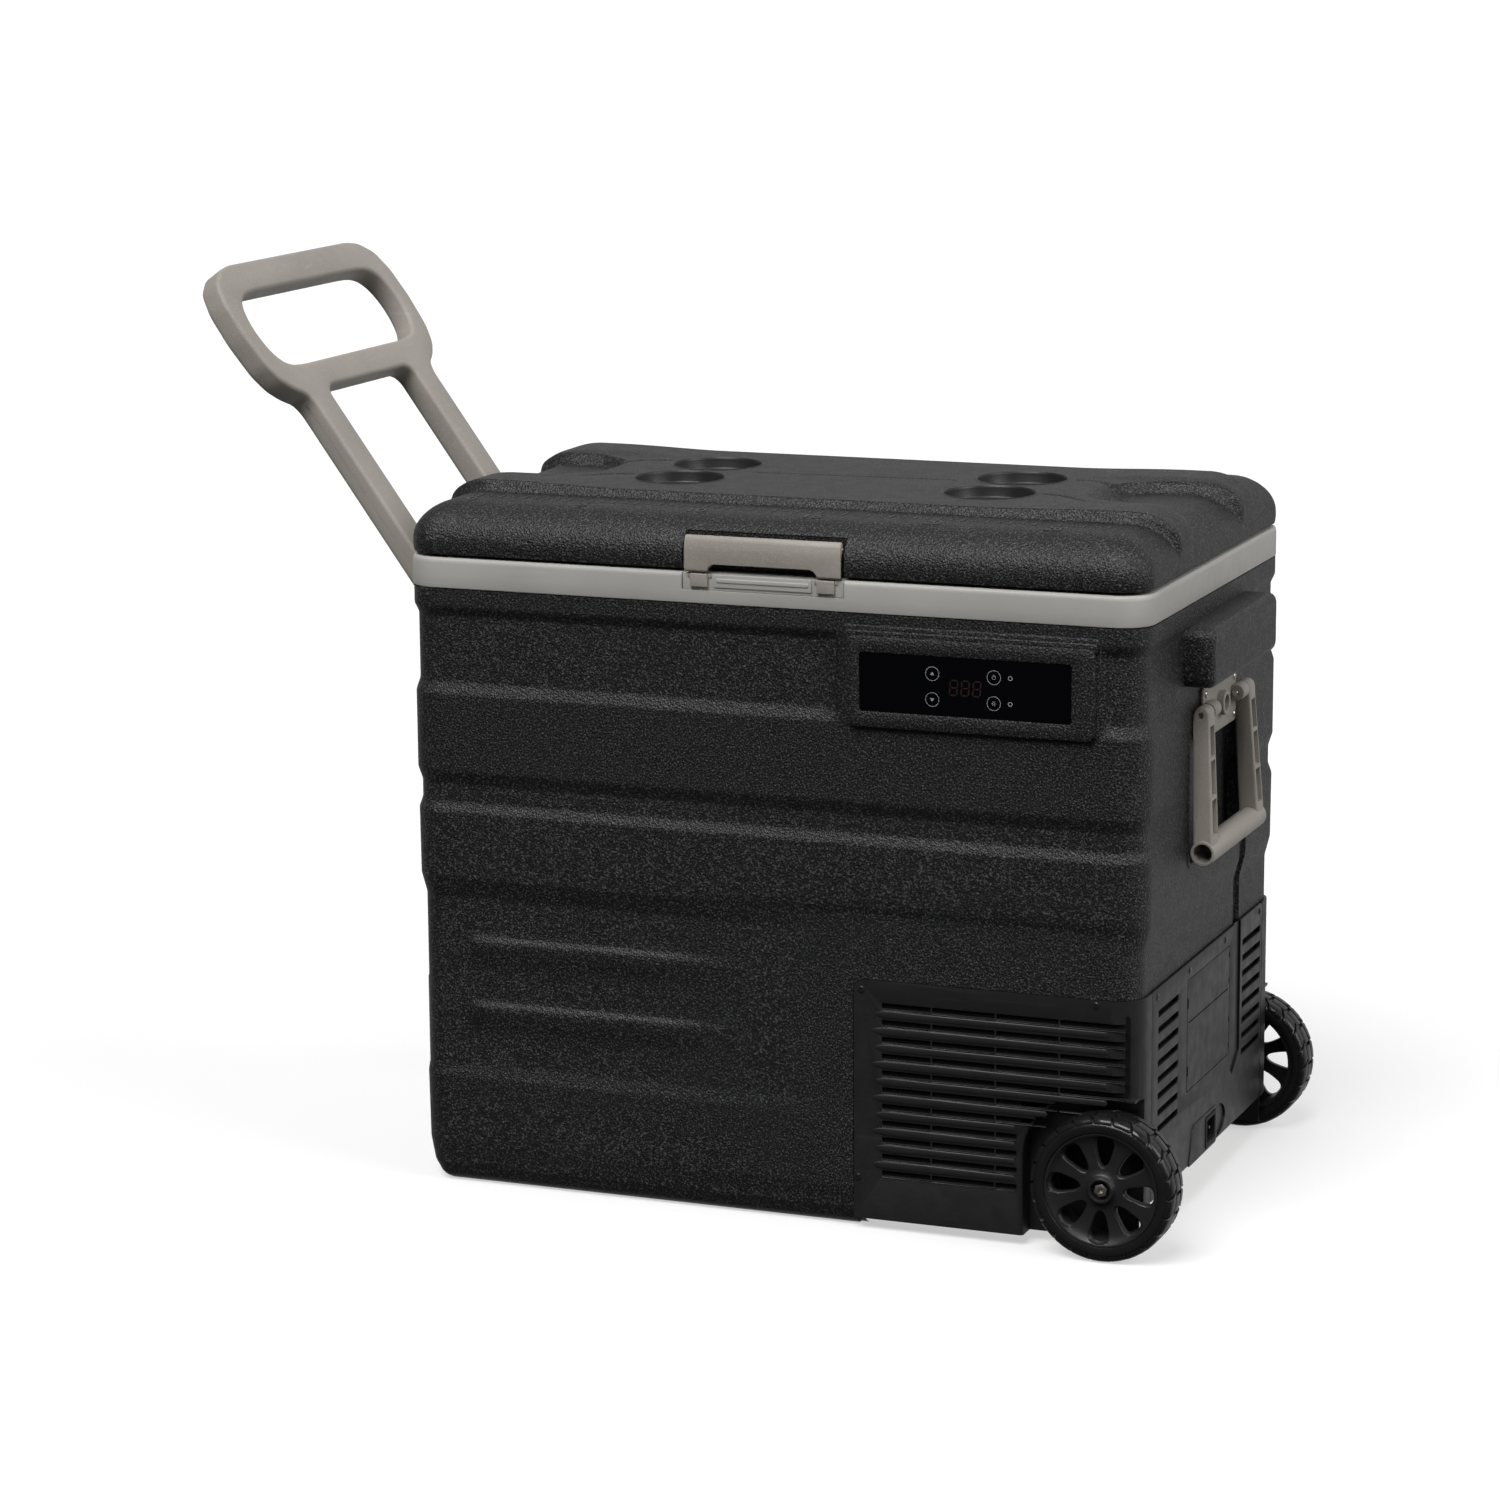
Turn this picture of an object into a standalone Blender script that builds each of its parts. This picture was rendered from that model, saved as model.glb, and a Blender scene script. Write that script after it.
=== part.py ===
"""Wheeled compressor cooler fridge: cabinet, lid, latch, tow handle, carry handle and cooling unit.

Metres, +Z up. X runs along the length, the control panel faces -Y, the wheels are at the +X end.
Each object is one physical piece. Modifiers are live, and cutters sit in their own hidden collection.
"""

import math

import bmesh
import bpy
from mathutils import Vector

# ---------------------------------------------------------------- driving dimensions (metres)
HALF_X = 0.402           # half length of the cabinet
HALF_Y = 0.2558          # half depth of the cabinet
BAND_Z = (0.643, 0.675)  # trim band, bottom and top
CORNER = 0.034           # vertical corner radius
GAP = 0.0003             # gap between touching pieces

BAY_X = 0.0945           # cooling bay starts here and runs to the wheel end
BAY_Z = 0.2655           # top of the cooling bay
LINER_X = 0.334          # half length of the cold compartment
LINER_Y = 0.190          # half depth of the cold compartment
STEP_X = 0.050           # the deep part of the compartment ends here
DEEP_Z = 0.062           # floor of the deep part
SHELF_Z = 0.325          # floor over the cooling bay
LINER_T = 0.0018

WHEEL_X = 0.367
WHEEL_Z = 0.0755         # also the wheel's radius
WHEEL_FACE = 0.2785      # outer face of the wheel, from the middle plane
AXLE_R = 0.006
RIM_R = 0.059

LID_Z = 0.6775           # underside of the lid shell
RULER_Z = 0.731          # front and rear terraces of the lid
PLATEAU_Z = 0.740        # raised middle of the lid
CUP_X = 0.173
CUP_Y = 0.0536
CUP_R = 0.0475
HINGE_Y = 0.2665         # lid hinge axis
HINGE_Z = 0.6765

LATCH_HALF = 0.0845
LATCH_Y = -0.2520        # latch pivot
LATCH_Z = 0.7055

TOW_X = -0.374           # tow handle pivot
TOW_Z = 0.547
TOW_TILT = math.radians(54.1)
TOW_T = 0.026
ARM_OUT = 0.1455
ARM_IN = 0.1035

CARRY_X = 0.4112         # carry handle pivot
CARRY_Z = 0.5275
CARRY_DROP = 0.141
CARRY_LEAN = 0.0065

WINDOW_X = (0.1055, 0.3280)
WINDOW_Z = (0.5450, 0.6050)
KEY_R = 0.0077
KEYS = {
    "key_up": (0.1832, 0.5875),
    "key_down": (0.1832, 0.5613),
    "key_power": (0.2478, 0.5875),
    "key_set": (0.2478, 0.5613),
}

DOOR_Y = (-0.0800, 0.0790)
DOOR_Z = (0.1278, 0.2462)
SLOT_PITCH = 0.0177

# ---------------------------------------------------------------- scene
for old in list(bpy.data.objects):
    bpy.data.objects.remove(old, do_unlink=True)

scene = bpy.context.scene
scene.unit_settings.system = "METRIC"
model = bpy.data.collections.new("compressor_cooler_fridge")
cutters = bpy.data.collections.new("cutters")
scene.collection.children.link(model)
scene.collection.children.link(cutters)
cutters.hide_render = True


def material(name, colour, metallic, roughness):
    mat = bpy.data.materials.new(name)
    mat.use_nodes = True
    shader = mat.node_tree.nodes["Principled BSDF"]
    shader.inputs["Base Color"].default_value = (*colour, 1.0)
    shader.inputs["Metallic"].default_value = metallic
    shader.inputs["Roughness"].default_value = roughness
    return mat


BLACK = material("textured_black", (0.022, 0.022, 0.023), 0.0, 0.55)
SATIN = material("satin_black", (0.012, 0.012, 0.013), 0.0, 0.42)
GREY = material("band_grey", (0.31, 0.30, 0.28), 0.0, 0.45)
TAUPE = material("taupe_grey", (0.245, 0.225, 0.195), 0.0, 0.5)
WHITE = material("liner_white", (0.78, 0.79, 0.80), 0.0, 0.35)
FOAM = material("foam_yellow", (0.72, 0.60, 0.33), 0.0, 0.9)
STEEL = material("steel", (0.55, 0.55, 0.56), 1.0, 0.35)
ALU = material("aluminium", (0.75, 0.76, 0.77), 1.0, 0.4)
COPPER = material("copper", (0.72, 0.38, 0.22), 1.0, 0.35)
BOARD = material("circuit_board", (0.02, 0.16, 0.07), 0.0, 0.5)
GLOSS = material("gloss_black", (0.006, 0.006, 0.007), 0.0, 0.08)
RUBBER = material("rubber", (0.018, 0.018, 0.018), 0.0, 0.7)
LAMP = material("lamp_white", (0.9, 0.92, 0.95), 0.0, 0.2)


# ---------------------------------------------------------------- builders
def add(name, verts, faces, mat=None, cutter=False):
    mesh = bpy.data.meshes.new(name)
    mesh.from_pydata([tuple(v) for v in verts], [], faces)
    bm = bmesh.new()
    bm.from_mesh(mesh)
    bmesh.ops.recalc_face_normals(bm, faces=bm.faces)
    bm.to_mesh(mesh)
    bm.free()
    if mat is not None:
        mesh.materials.append(mat)
    obj = bpy.data.objects.new(name, mesh)
    (cutters if cutter else model).objects.link(obj)
    if cutter:
        obj.hide_render = True
        obj.display_type = "WIRE"
    return obj


def box_data(lo, hi):
    verts = [(x, y, z) for z in (lo[2], hi[2]) for y in (lo[1], hi[1]) for x in (lo[0], hi[0])]
    faces = [(0, 2, 3, 1), (4, 5, 7, 6), (0, 1, 5, 4), (2, 6, 7, 3), (0, 4, 6, 2), (1, 3, 7, 5)]
    return verts, faces


def merged(pieces):
    """One mesh from several disjoint closed (verts, faces)."""
    verts, faces = [], []
    for piece_verts, piece_faces in pieces:
        base = len(verts)
        verts += list(piece_verts)
        faces += [tuple(i + base for i in face) for face in piece_faces]
    return verts, faces


def box(name, lo, hi, mat=None, cutter=False):
    return add(name, *box_data(lo, hi), mat, cutter)


def rounded_rect(cx, cy, hx, hy, r, n=4):
    """Counter-clockwise ring of a rectangle with rounded corners."""
    r = max(min(r, hx, hy), 0.0005)
    ring = []
    for k, (sx, sy) in enumerate(((1, 1), (-1, 1), (-1, -1), (1, -1))):
        for i in range(n + 1):
            a = math.pi / 2 * (k + i / n)
            ring.append((cx + sx * (hx - r) + r * math.cos(a), cy + sy * (hy - r) + r * math.sin(a)))
    return ring


def loft_data(rings):
    """Closed solid through equal-count rings of 3-D points, with flat end caps."""
    n = len(rings[0])
    verts = [p for ring in rings for p in ring]
    faces = [tuple(reversed(range(n)))]
    for k in range(len(rings) - 1):
        a, b = k * n, (k + 1) * n
        faces += [(a + i, a + (i + 1) % n, b + (i + 1) % n, b + i) for i in range(n)]
    faces.append(tuple(range((len(rings) - 1) * n, len(rings) * n)))
    return verts, faces


def torus_data(rings):
    """Closed solid through equal-count rings that come back to the first one."""
    n = len(rings[0])
    m = len(rings)
    verts = [p for ring in rings for p in ring]
    faces = []
    for k in range(m):
        a, b = k * n, ((k + 1) % m) * n
        faces += [(a + i, a + (i + 1) % n, b + (i + 1) % n, b + i) for i in range(n)]
    return verts, faces


def place(axis, u, v, t):
    """A point from in-plane (u, v) and the distance t along the axis."""
    return {"x": (t, u, v), "y": (u, t, v), "z": (u, v, t)}[axis]


def prism_data(outline, axis, lo, hi):
    return loft_data([[place(axis, u, v, t) for u, v in outline] for t in (lo, hi)])


def prism(name, outline, axis, lo, hi, mat=None, cutter=False):
    return add(name, *prism_data(outline, axis, lo, hi), mat, cutter)


def circle(cu, cv, r, n=24):
    return [(cu + r * math.cos(2 * math.pi * i / n), cv + r * math.sin(2 * math.pi * i / n)) for i in range(n)]


def rod_data(axis, cu, cv, r, lo, hi, n=16):
    return prism_data(circle(cu, cv, r, n), axis, lo, hi)


def rod(name, axis, cu, cv, r, lo, hi, mat=None, n=16, cutter=False):
    return add(name, *rod_data(axis, cu, cv, r, lo, hi, n), mat, cutter)


def lathe(name, profile, axis, cu, cv, mat, n=24):
    """Solid of revolution of a closed (radius, distance along axis) profile that stays off the axis."""
    rings = [[place(axis, u, v, t) for u, v in circle(cu, cv, r, n)] for r, t in profile]
    return add(name, *torus_data(rings), mat)


def boolean(obj, other, kind):
    mod = obj.modifiers.new(f"{kind.lower()}_{other.name}", "BOOLEAN")
    mod.operation = kind
    mod.solver = "EXACT"
    mod.object = other
    return obj


def cut(obj, other):
    return boolean(obj, other, "DIFFERENCE")


def join(obj, other):
    return boolean(obj, other, "UNION")


def bevel(obj, width, segments=2, angle=40):
    mod = obj.modifiers.new("bevel", "BEVEL")
    mod.width = width
    mod.segments = segments
    mod.limit_method = "ANGLE"
    mod.angle_limit = math.radians(angle)
    return obj


def tube(name, points, radius, mat, sides=8):
    """Round pipe swept along a polyline, closed at both ends."""
    rings = []
    path = [Vector(p) for p in points]
    for k, point in enumerate(path):
        ahead = path[min(k + 1, len(path) - 1)] - point
        behind = point - path[max(k - 1, 0)]
        way = ahead.normalized() + behind.normalized()
        way.normalize()
        if k == 0:
            side = way.orthogonal().normalized()
        side = (side - way * side.dot(way)).normalized()
        other = way.cross(side)
        stretch = 1.0 if k in (0, len(path) - 1) else 1 / max(0.6, way.dot(ahead.normalized()))
        rings.append([point + radius * stretch * (math.cos(a) * side + math.sin(a) * other)
                      for a in (2 * math.pi * i / sides for i in range(sides))])
    return add(name, *loft_data(rings), mat)


# ---------------------------------------------------------------- cabinet shell
# Height, inset at the ends and inset at the faces: rounded foot, base, and the horizontal ribs.
SHELL_LEVELS = [
    (0.0000, 0.034, 0.0140), (0.0060, 0.021, 0.0085), (0.0200, 0.010, 0.0065), (0.0450, 0.0050, 0.0050),
    (0.1175, 0.0040, 0.0040), (0.1320, 0.0065, 0.0065), (0.3130, 0.0065, 0.0065), (0.3347, 0.0010, 0.0010),
    (0.4052, 0.0005, 0.0005), (0.4160, 0.0045, 0.0045), (0.4354, 0.0045, 0.0045), (0.4490, 0.0, 0.0),
    (0.5310, 0.0, 0.0), (0.5437, 0.0045, 0.0045), (0.6140, 0.0045, 0.0045), (0.6235, 0.0, 0.0),
    (0.6425, 0.0, 0.0),
]
WALL_IN = 0.0120


def wall_ring(z, ix, iy):
    r = max(CORNER - min(ix, iy), 0.012)
    return [(x, y, z) for x, y in rounded_rect(0, 0, HALF_X - ix, HALF_Y - iy, r)]


shell_rings = [wall_ring(*level) for level in SHELL_LEVELS]
shell_rings += [wall_ring(0.6425, WALL_IN, WALL_IN), wall_ring(0.0500, WALL_IN, WALL_IN)]
shell_rings += [wall_ring(0.0120, 0.0380, 0.0200)]
outer_shell = add("outer_shell", *loft_data(shell_rings), BLACK)

# Control bezel pad on the front and hood over the carry handle at the wheel end.
bezel_pad = box("bezel_pad", (0.0910, -HALF_Y - 0.0060, 0.5285), (0.3520, -HALF_Y + 0.0105, 0.6215), cutter=True)
bevel(bezel_pad, 0.0045)
hood = box("hood", (HALF_X - 0.0105, -0.1225, 0.5610), (HALF_X + 0.0315, 0.1225, 0.6230), cutter=True)
bevel(hood, 0.0080)
# Tub that backs the tow handle recess, and the one behind the carry handle.
TOW_POCKET = [(-0.153, 0.215), (-0.209, 0.215), (-0.209, 0.036), (0.209, 0.036), (0.209, 0.215), (0.153, 0.215),
              (0.153, 0.6120), (-0.153, 0.6120)]
TOW_BACKING = [(-0.157, 0.219), (-0.213, 0.219), (-0.213, 0.0325), (0.213, 0.0325), (0.213, 0.219), (0.157, 0.219),
               (0.157, 0.6160), (-0.157, 0.6160)]
tow_tub = prism("tow_tub", TOW_BACKING, "x", -HALF_X + 0.0085, -0.3520, cutter=True)
carry_tub = box("carry_tub", (0.3845, -0.0990, 0.3690), (HALF_X - 0.0085, 0.0990, 0.5030), cutter=True)
for extra in (bezel_pad, hood, tow_tub, carry_tub):
    join(outer_shell, extra)
shell_cuts = merged([
    box_data((BAY_X, -0.30, -0.01), (0.45, 0.30, BAY_Z)),
    box_data((WINDOW_X[0], -0.30, WINDOW_Z[0]), (WINDOW_X[1], -0.235, WINDOW_Z[1])),
    prism_data(TOW_POCKET, "x", -0.45, -0.3560),
    box_data((0.3885, -0.0950, 0.3730), (0.41, 0.0950, 0.4990)),
    box_data((HALF_X - 0.0060, 0.0990, 0.2650), (0.41, 0.1228, 0.3725)),
])
cut(outer_shell, add("shell_cuts", *shell_cuts, cutter=True))

# ---------------------------------------------------------------- insulation, liner and bay bulkhead
liner_profile = [(-LINER_X - LINER_T, DEEP_Z - LINER_T), (STEP_X + LINER_T, DEEP_Z - LINER_T),
                 (STEP_X + LINER_T, SHELF_Z - LINER_T), (LINER_X + LINER_T, SHELF_Z - LINER_T),
                 (LINER_X + LINER_T, 0.6412), (-LINER_X - LINER_T, 0.6412)]
liner = prism("liner", liner_profile, "y", -LINER_Y - LINER_T, LINER_Y + LINER_T, WHITE)
join(liner, box("liner_flange", (-0.3560, -0.2120, 0.6403), (0.3560, 0.2120, 0.6423), cutter=True))
liner_hollow = [(-LINER_X, DEEP_Z), (STEP_X, DEEP_Z), (STEP_X, SHELF_Z), (LINER_X, SHELF_Z), (LINER_X, 0.66),
                (-LINER_X, 0.66)]
cut(liner, prism("liner_hollow", liner_hollow, "y", -LINER_Y, LINER_Y, cutter=True))

foam_ring = rounded_rect(0, 0, HALF_X - WALL_IN - GAP, HALF_Y - WALL_IN - GAP, 0.022)
foam = add("foam_insulation", *loft_data([[(x, y, z) for x, y in foam_ring] for z in (0.0510, 0.6400)]), FOAM)
g = LINER_T + GAP
foam_room = [(-LINER_X - g, DEEP_Z - g), (STEP_X + g, DEEP_Z - g), (STEP_X + g, SHELF_Z - g),
             (LINER_X + g, SHELF_Z - g), (LINER_X + g, 0.66), (-LINER_X - g, 0.66)]
cut(foam, prism("foam_room", foam_room, "y", -LINER_Y - g, LINER_Y + g, cutter=True))
foam_outside = merged([
    box_data((0.0890, -0.30, -0.01), (0.45, 0.30, 0.2705)),
    prism_data(TOW_BACKING, "x", -0.45, -0.3516),
    box_data((0.3840, -0.0995, 0.3685), (0.45, 0.0995, 0.5035)),
    box_data((0.0990, -0.30, 0.5380), (0.3350, -0.2150, 0.6120)),
    box_data((-0.3000, LINER_Y + 0.0015, 0.1200), (0.0200, LINER_Y + 0.0045, 0.5800)),
])
cut(foam, add("foam_outside", *foam_outside, cutter=True))
box("evaporator_plate", (-0.2995, LINER_Y + 0.0022, 0.1205), (0.0195, LINER_Y + 0.0041, 0.5795), ALU)

bulkhead = [(0.0895, 0.0150), (0.0915, 0.0150), (0.0915, 0.2680), (0.3800, 0.2680), (0.3800, 0.2700),
            (0.0895, 0.2700)]
prism("bay_bulkhead", bulkhead, "y", -0.2340, 0.2340, STEEL)
box("interior_lamp", (-0.030, -LINER_Y + GAP, 0.585), (0.030, -LINER_Y + 0.0063, 0.600), LAMP)

# ---------------------------------------------------------------- trim band and latch keeper
band_outer = rounded_rect(0, 0, HALF_X + 0.0006, HALF_Y + 0.0006, CORNER)
band_upper = rounded_rect(0, 0, HALF_X - 0.0015, HALF_Y - 0.0015, CORNER - 0.002)
band_inner = rounded_rect(0, 0, LINER_X, LINER_Y, 0.020)
z0, z1 = BAND_Z
trim_band = add("trim_band", *torus_data([
    [(x, y, z0) for x, y in band_outer],
    [(x, y, z1 - 0.004) for x, y in band_outer],
    [(x, y, z1) for x, y in band_upper],
    [(x, y, z1) for x, y in band_inner],
    [(x, y, z0) for x, y in band_inner],
]), GREY)
cut(trim_band, box("keeper_seat", (-0.0878, -0.27, 0.6570), (0.0878, -HALF_Y + 0.0030, 0.69), cutter=True))
keeper = box("latch_keeper", (-0.0872, -HALF_Y + 0.0003, 0.6574), (0.0872, -HALF_Y + 0.0027, 0.6740), GREY)
pads = merged([box_data((s * 0.0685 - 0.0100, -HALF_Y - 0.0030, 0.6610), (s * 0.0685 + 0.0100, -HALF_Y + 0.0015, 0.6730))
               for s in (-1, 1)] + [box_data((-0.0500, -HALF_Y - 0.0012, 0.6645), (0.0500, -HALF_Y + 0.0015, 0.6690))])
join(keeper, add("keeper_pads", *pads, cutter=True))

# ---------------------------------------------------------------- control panel
window = prism("display_window", rounded_rect(sum(WINDOW_X) / 2, sum(WINDOW_Z) / 2, 0.1109, 0.0297, 0.003, 2),
               "y", -HALF_Y - 0.0052, -HALF_Y - 0.0028, GLOSS)
key_holes = merged([rod_data("y", x, z, KEY_R + 0.0003, -0.27, -0.25) for x, z in KEYS.values()])
cut(window, add("key_holes", *key_holes, cutter=True))
for key, (x, z) in KEYS.items():
    rod(key, "y", x, z, KEY_R, -HALF_Y - 0.0057, -HALF_Y - 0.0013, GLOSS)
box("control_board", (0.1100, -HALF_Y + 0.0060, 0.5480), (0.3240, -HALF_Y + 0.0076, 0.6020), BOARD)
box("digit_display", (0.1970, -HALF_Y - 0.0024, 0.5650), (0.2350, -HALF_Y + 0.0057, 0.5845), RUBBER)

# ---------------------------------------------------------------- cooling bay
pan_profile = [(0.0990, 0.0110), (0.3300, 0.0110), (0.3920, 0.0440), (0.3920, 0.0465), (0.3290, 0.0135),
               (0.1015, 0.0135), (0.1015, 0.0400), (0.0990, 0.0400)]
prism("base_pan", pan_profile, "y", -0.2200, 0.2200, STEEL)

compressor = lathe("compressor", [(0.0080, 0.0235), (0.0480, 0.0235), (0.0550, 0.0340), (0.0550, 0.0980),
                                  (0.0580, 0.1010), (0.0580, 0.1050), (0.0540, 0.1100), (0.0500, 0.1450),
                                  (0.0300, 0.1650), (0.0080, 0.1680)], "z", 0.1640, -0.0300, SATIN, 20)
join(compressor, rod("compressor_core", "z", 0.1640, -0.0300, 0.0120, 0.0238, 0.1690, cutter=True, n=12))
join(compressor, box("compressor_feet", (0.1050, -0.0850, 0.0200), (0.2230, 0.0250, 0.0245), cutter=True))
feet = merged([rod_data("z", 0.1640 + sx * 0.0500, -0.0300 + sy * 0.0450, 0.0080, 0.0138, 0.0220, 10)
               for sx in (-1, 1) for sy in (-1, 1)])
join(compressor, add("compressor_pads", *feet, cutter=True))

condenser = box("condenser", (0.1080, 0.1420, 0.0300), (0.2520, 0.1780, 0.2100), ALU)
fins = merged([box_data((0.07, 0.1400, 0.0420 + 0.0120 * i), (0.30, 0.1505, 0.0480 + 0.0120 * i)) for i in range(13)])
cut(condenser, add("condenser_gaps", *fins, cutter=True))

FAN = (0.1800, 0.1150)
fan_frame = box("fan_frame", (FAN[0] - 0.0600, 0.1120, FAN[1] - 0.0600), (FAN[0] + 0.0600, 0.1370, FAN[1] + 0.0600), SATIN)
cut(fan_frame, rod("fan_bore", "y", *FAN, 0.0565, 0.1180, 0.1500, n=24, cutter=True))
fan_struts = merged([prism_data([(FAN[0] + r * math.cos(a + da), FAN[1] + r * math.sin(a + da))
                                 for r, da in ((0.026, -0.70), (0.053, -0.72), (0.053, 0.72), (0.026, 0.70))],
                                "y", 0.1000, 0.1250) for a in (0.0, math.pi / 2, math.pi, 3 * math.pi / 2)])
cut(fan_frame, add("fan_vents", *fan_struts, cutter=True))
fan_rotor = rod("fan_rotor", "y", *FAN, 0.0200, 0.1190, 0.1355, SATIN, 14)
blades = []
for k in range(7):
    a = 2 * math.pi * k / 7
    c, s = math.cos(a), math.sin(a)
    section = [(-0.0110, 0.1215), (-0.0085, 0.1205), (0.0110, 0.1325), (0.0085, 0.1335)]
    blades.append(loft_data([[(FAN[0] + c * r - s * w * f, y, FAN[1] + s * r + c * w * f) for w, y in section]
                             for r, f in ((0.0170, 0.6), (0.0545, 1.0))]))
join(fan_rotor, add("fan_blades", *merged(blades), cutter=True))

power_board = box("power_board", (0.1150, -0.2060, 0.0600), (0.2200, -0.2044, 0.2000), BOARD)
parts = merged([box_data((0.125, -0.2050, 0.075), (0.165, -0.1900, 0.110)),
                box_data((0.175, -0.2050, 0.075), (0.205, -0.1850, 0.100)),
                box_data((0.130, -0.2050, 0.130), (0.205, -0.1930, 0.150)),
                box_data((0.135, -0.2050, 0.165), (0.160, -0.1820, 0.190))])
join(power_board, add("board_parts", *parts, cutter=True))
tube("suction_line", [(0.1640, -0.0300, 0.1695), (0.1640, -0.0300, 0.1900), (0.1700, -0.0360, 0.2050),
                      (0.1900, -0.0560, 0.2150), (0.1900, -0.1200, 0.2200), (0.1500, -0.1600, 0.2300),
                      (0.1500, -0.1600, 0.2675)], 0.0040, COPPER)
tube("discharge_line", [(0.2255, 0.0280, 0.0900), (0.2255, 0.0600, 0.0900), (0.2480, 0.0900, 0.1100),
                        (0.2480, 0.1300, 0.1900), (0.2300, 0.1380, 0.1980)], 0.0030, COPPER)

# ---------------------------------------------------------------- vent covers round the cooling bay
COVER_OUT = 0.0035
COVER_T = 0.0030


def corner_path(inset, side):
    """From the front (side -1) or rear (side 1) face round the vertical corner on to the wheel end."""
    y = side * (HALF_Y - inset)
    r = CORNER - inset
    cx, cy = HALF_X - CORNER, side * (HALF_Y - CORNER)
    arc = [(cx + r * math.sin(a), cy + side * r * math.cos(a)) for a in (math.pi / 2 * i / 5 for i in range(6))]
    return [(BAY_X + 0.0005, y)] + arc + [(HALF_X - inset, side * 0.2085)]


ARCH_X = 0.2775
ARCH_TOP = 0.1610


def arch_outline(grow, right):
    cx, cz, r = ARCH_X + 0.0650, ARCH_TOP - 0.0650, 0.0650 + grow
    arc = [(cx - r * math.cos(a), cz + r * math.sin(a)) for a in (math.pi / 2 * i / 6 for i in range(7))]
    return [(ARCH_X - grow, 0.0)] + arc + [(right, ARCH_TOP + grow), (right, 0.0)]


def slot_rows():
    """Vent slots as (x ranges, z): each row is divided by three ribs and stops short of the wheel arch."""
    rows = []
    for i in range(11):
        z = 0.2385 - SLOT_PITCH * i
        right = 0.3860 if i < 6 else (0.3030 if i == 6 else 0.2715)
        edges = [0.1250, 0.1790, 0.2475, 0.3150, 0.3860]
        spans = [(a + 0.0009, min(b, right) - 0.0009) for a, b in zip(edges, edges[1:]) if a + 0.006 < right]
        rows.append((spans, z))
    return rows


for name, side in (("front_vent_cover", -1), ("rear_vent_cover", 1)):
    outline = corner_path(COVER_OUT, side) + corner_path(COVER_OUT + COVER_T, side)[::-1]
    cover = prism(name, outline, "z", 0.0112, BAY_Z - 0.0004, SATIN)
    well_lo, well_hi = sorted((side * 0.2505, side * 0.2265))
    join(cover, prism(f"{name}_well", arch_outline(0.0025, 0.3945), "y", well_lo, well_hi, cutter=True))
    hole_lo, hole_hi = sorted((side * 0.3000, side * 0.2290))
    cut(cover, prism(f"{name}_arch", arch_outline(0.0, 0.4500), "y", hole_lo, hole_hi, cutter=True))
    y_lo, y_hi = sorted((side * 0.2600, side * 0.2460))
    slots = [box_data((a, y_lo, z - 0.0035), (b, y_hi, z + 0.0035)) for spans, z in slot_rows() for a, b in spans]
    y_lo, y_hi = sorted((side * 0.3000, side * 0.2000))
    slots.append(box_data((0.2600, y_lo, -0.0100), (0.4500, y_hi, 0.0111)))
    slots.append(box_data((0.3930, y_lo, 0.0112), (0.4500, y_hi, 0.0450)))
    slots.append(rod_data("y", WHEEL_X, WHEEL_Z, AXLE_R + 0.0010, *sorted((side * 0.2310, side * 0.2100)), 12))
    cut(cover, add(f"{name}_slots", *merged(slots), cutter=True))

end_x = HALF_X - COVER_OUT
end_cover = box("end_vent_cover", (end_x - COVER_T, -0.2075, 0.0455), (end_x, 0.2075, BAY_Z - 0.0004), SATIN)
end_cuts = [box_data((0.38, DOOR_Y[0] - 0.0005, DOOR_Z[0] - 0.0005), (0.41, DOOR_Y[1] + 0.0005, DOOR_Z[1] + 0.0005)),
            box_data((0.38, -0.0118, 0.0468), (0.41, 0.0283, 0.0818))]
for low, high in ((-0.1850, -0.1130), (0.1300, 0.2010)):
    end_cuts += [box_data((0.38, low, 0.2340 - 0.0173 * i), (0.41, high, 0.2410 - 0.0173 * i)) for i in range(8)]
cut(end_cover, add("end_cuts", *merged(end_cuts), cutter=True))

battery_tray = box("battery_tray", (0.2340, -0.0780, 0.1300), (0.3945, 0.0770, 0.2440), SATIN)
cut(battery_tray, box("tray_room", (0.2365, -0.0755, 0.1325), (0.40, 0.0745, 0.2415), cutter=True))
box("battery_pack", (0.2390, -0.0700, 0.1330), (0.3800, 0.0690, 0.2360), RUBBER)
box("battery_door", (end_x - 0.0030, DOOR_Y[0], DOOR_Z[0]), (end_x, DOOR_Y[1], DOOR_Z[1]), SATIN)
dc_inlet = box("dc_inlet", (0.3830, -0.0113, 0.0473), (0.4005, 0.0278, 0.0813), RUBBER)
cut(dc_inlet, box("dc_hollow", (0.3870, -0.0060, 0.0530), (0.41, 0.0225, 0.0755), cutter=True))
for index, y in enumerate((0.0020, 0.0145), 1):
    rod(f"dc_pin_{index}", "x", y, 0.0642, 0.0018, 0.3873, 0.3970, STEEL, 8)

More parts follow.
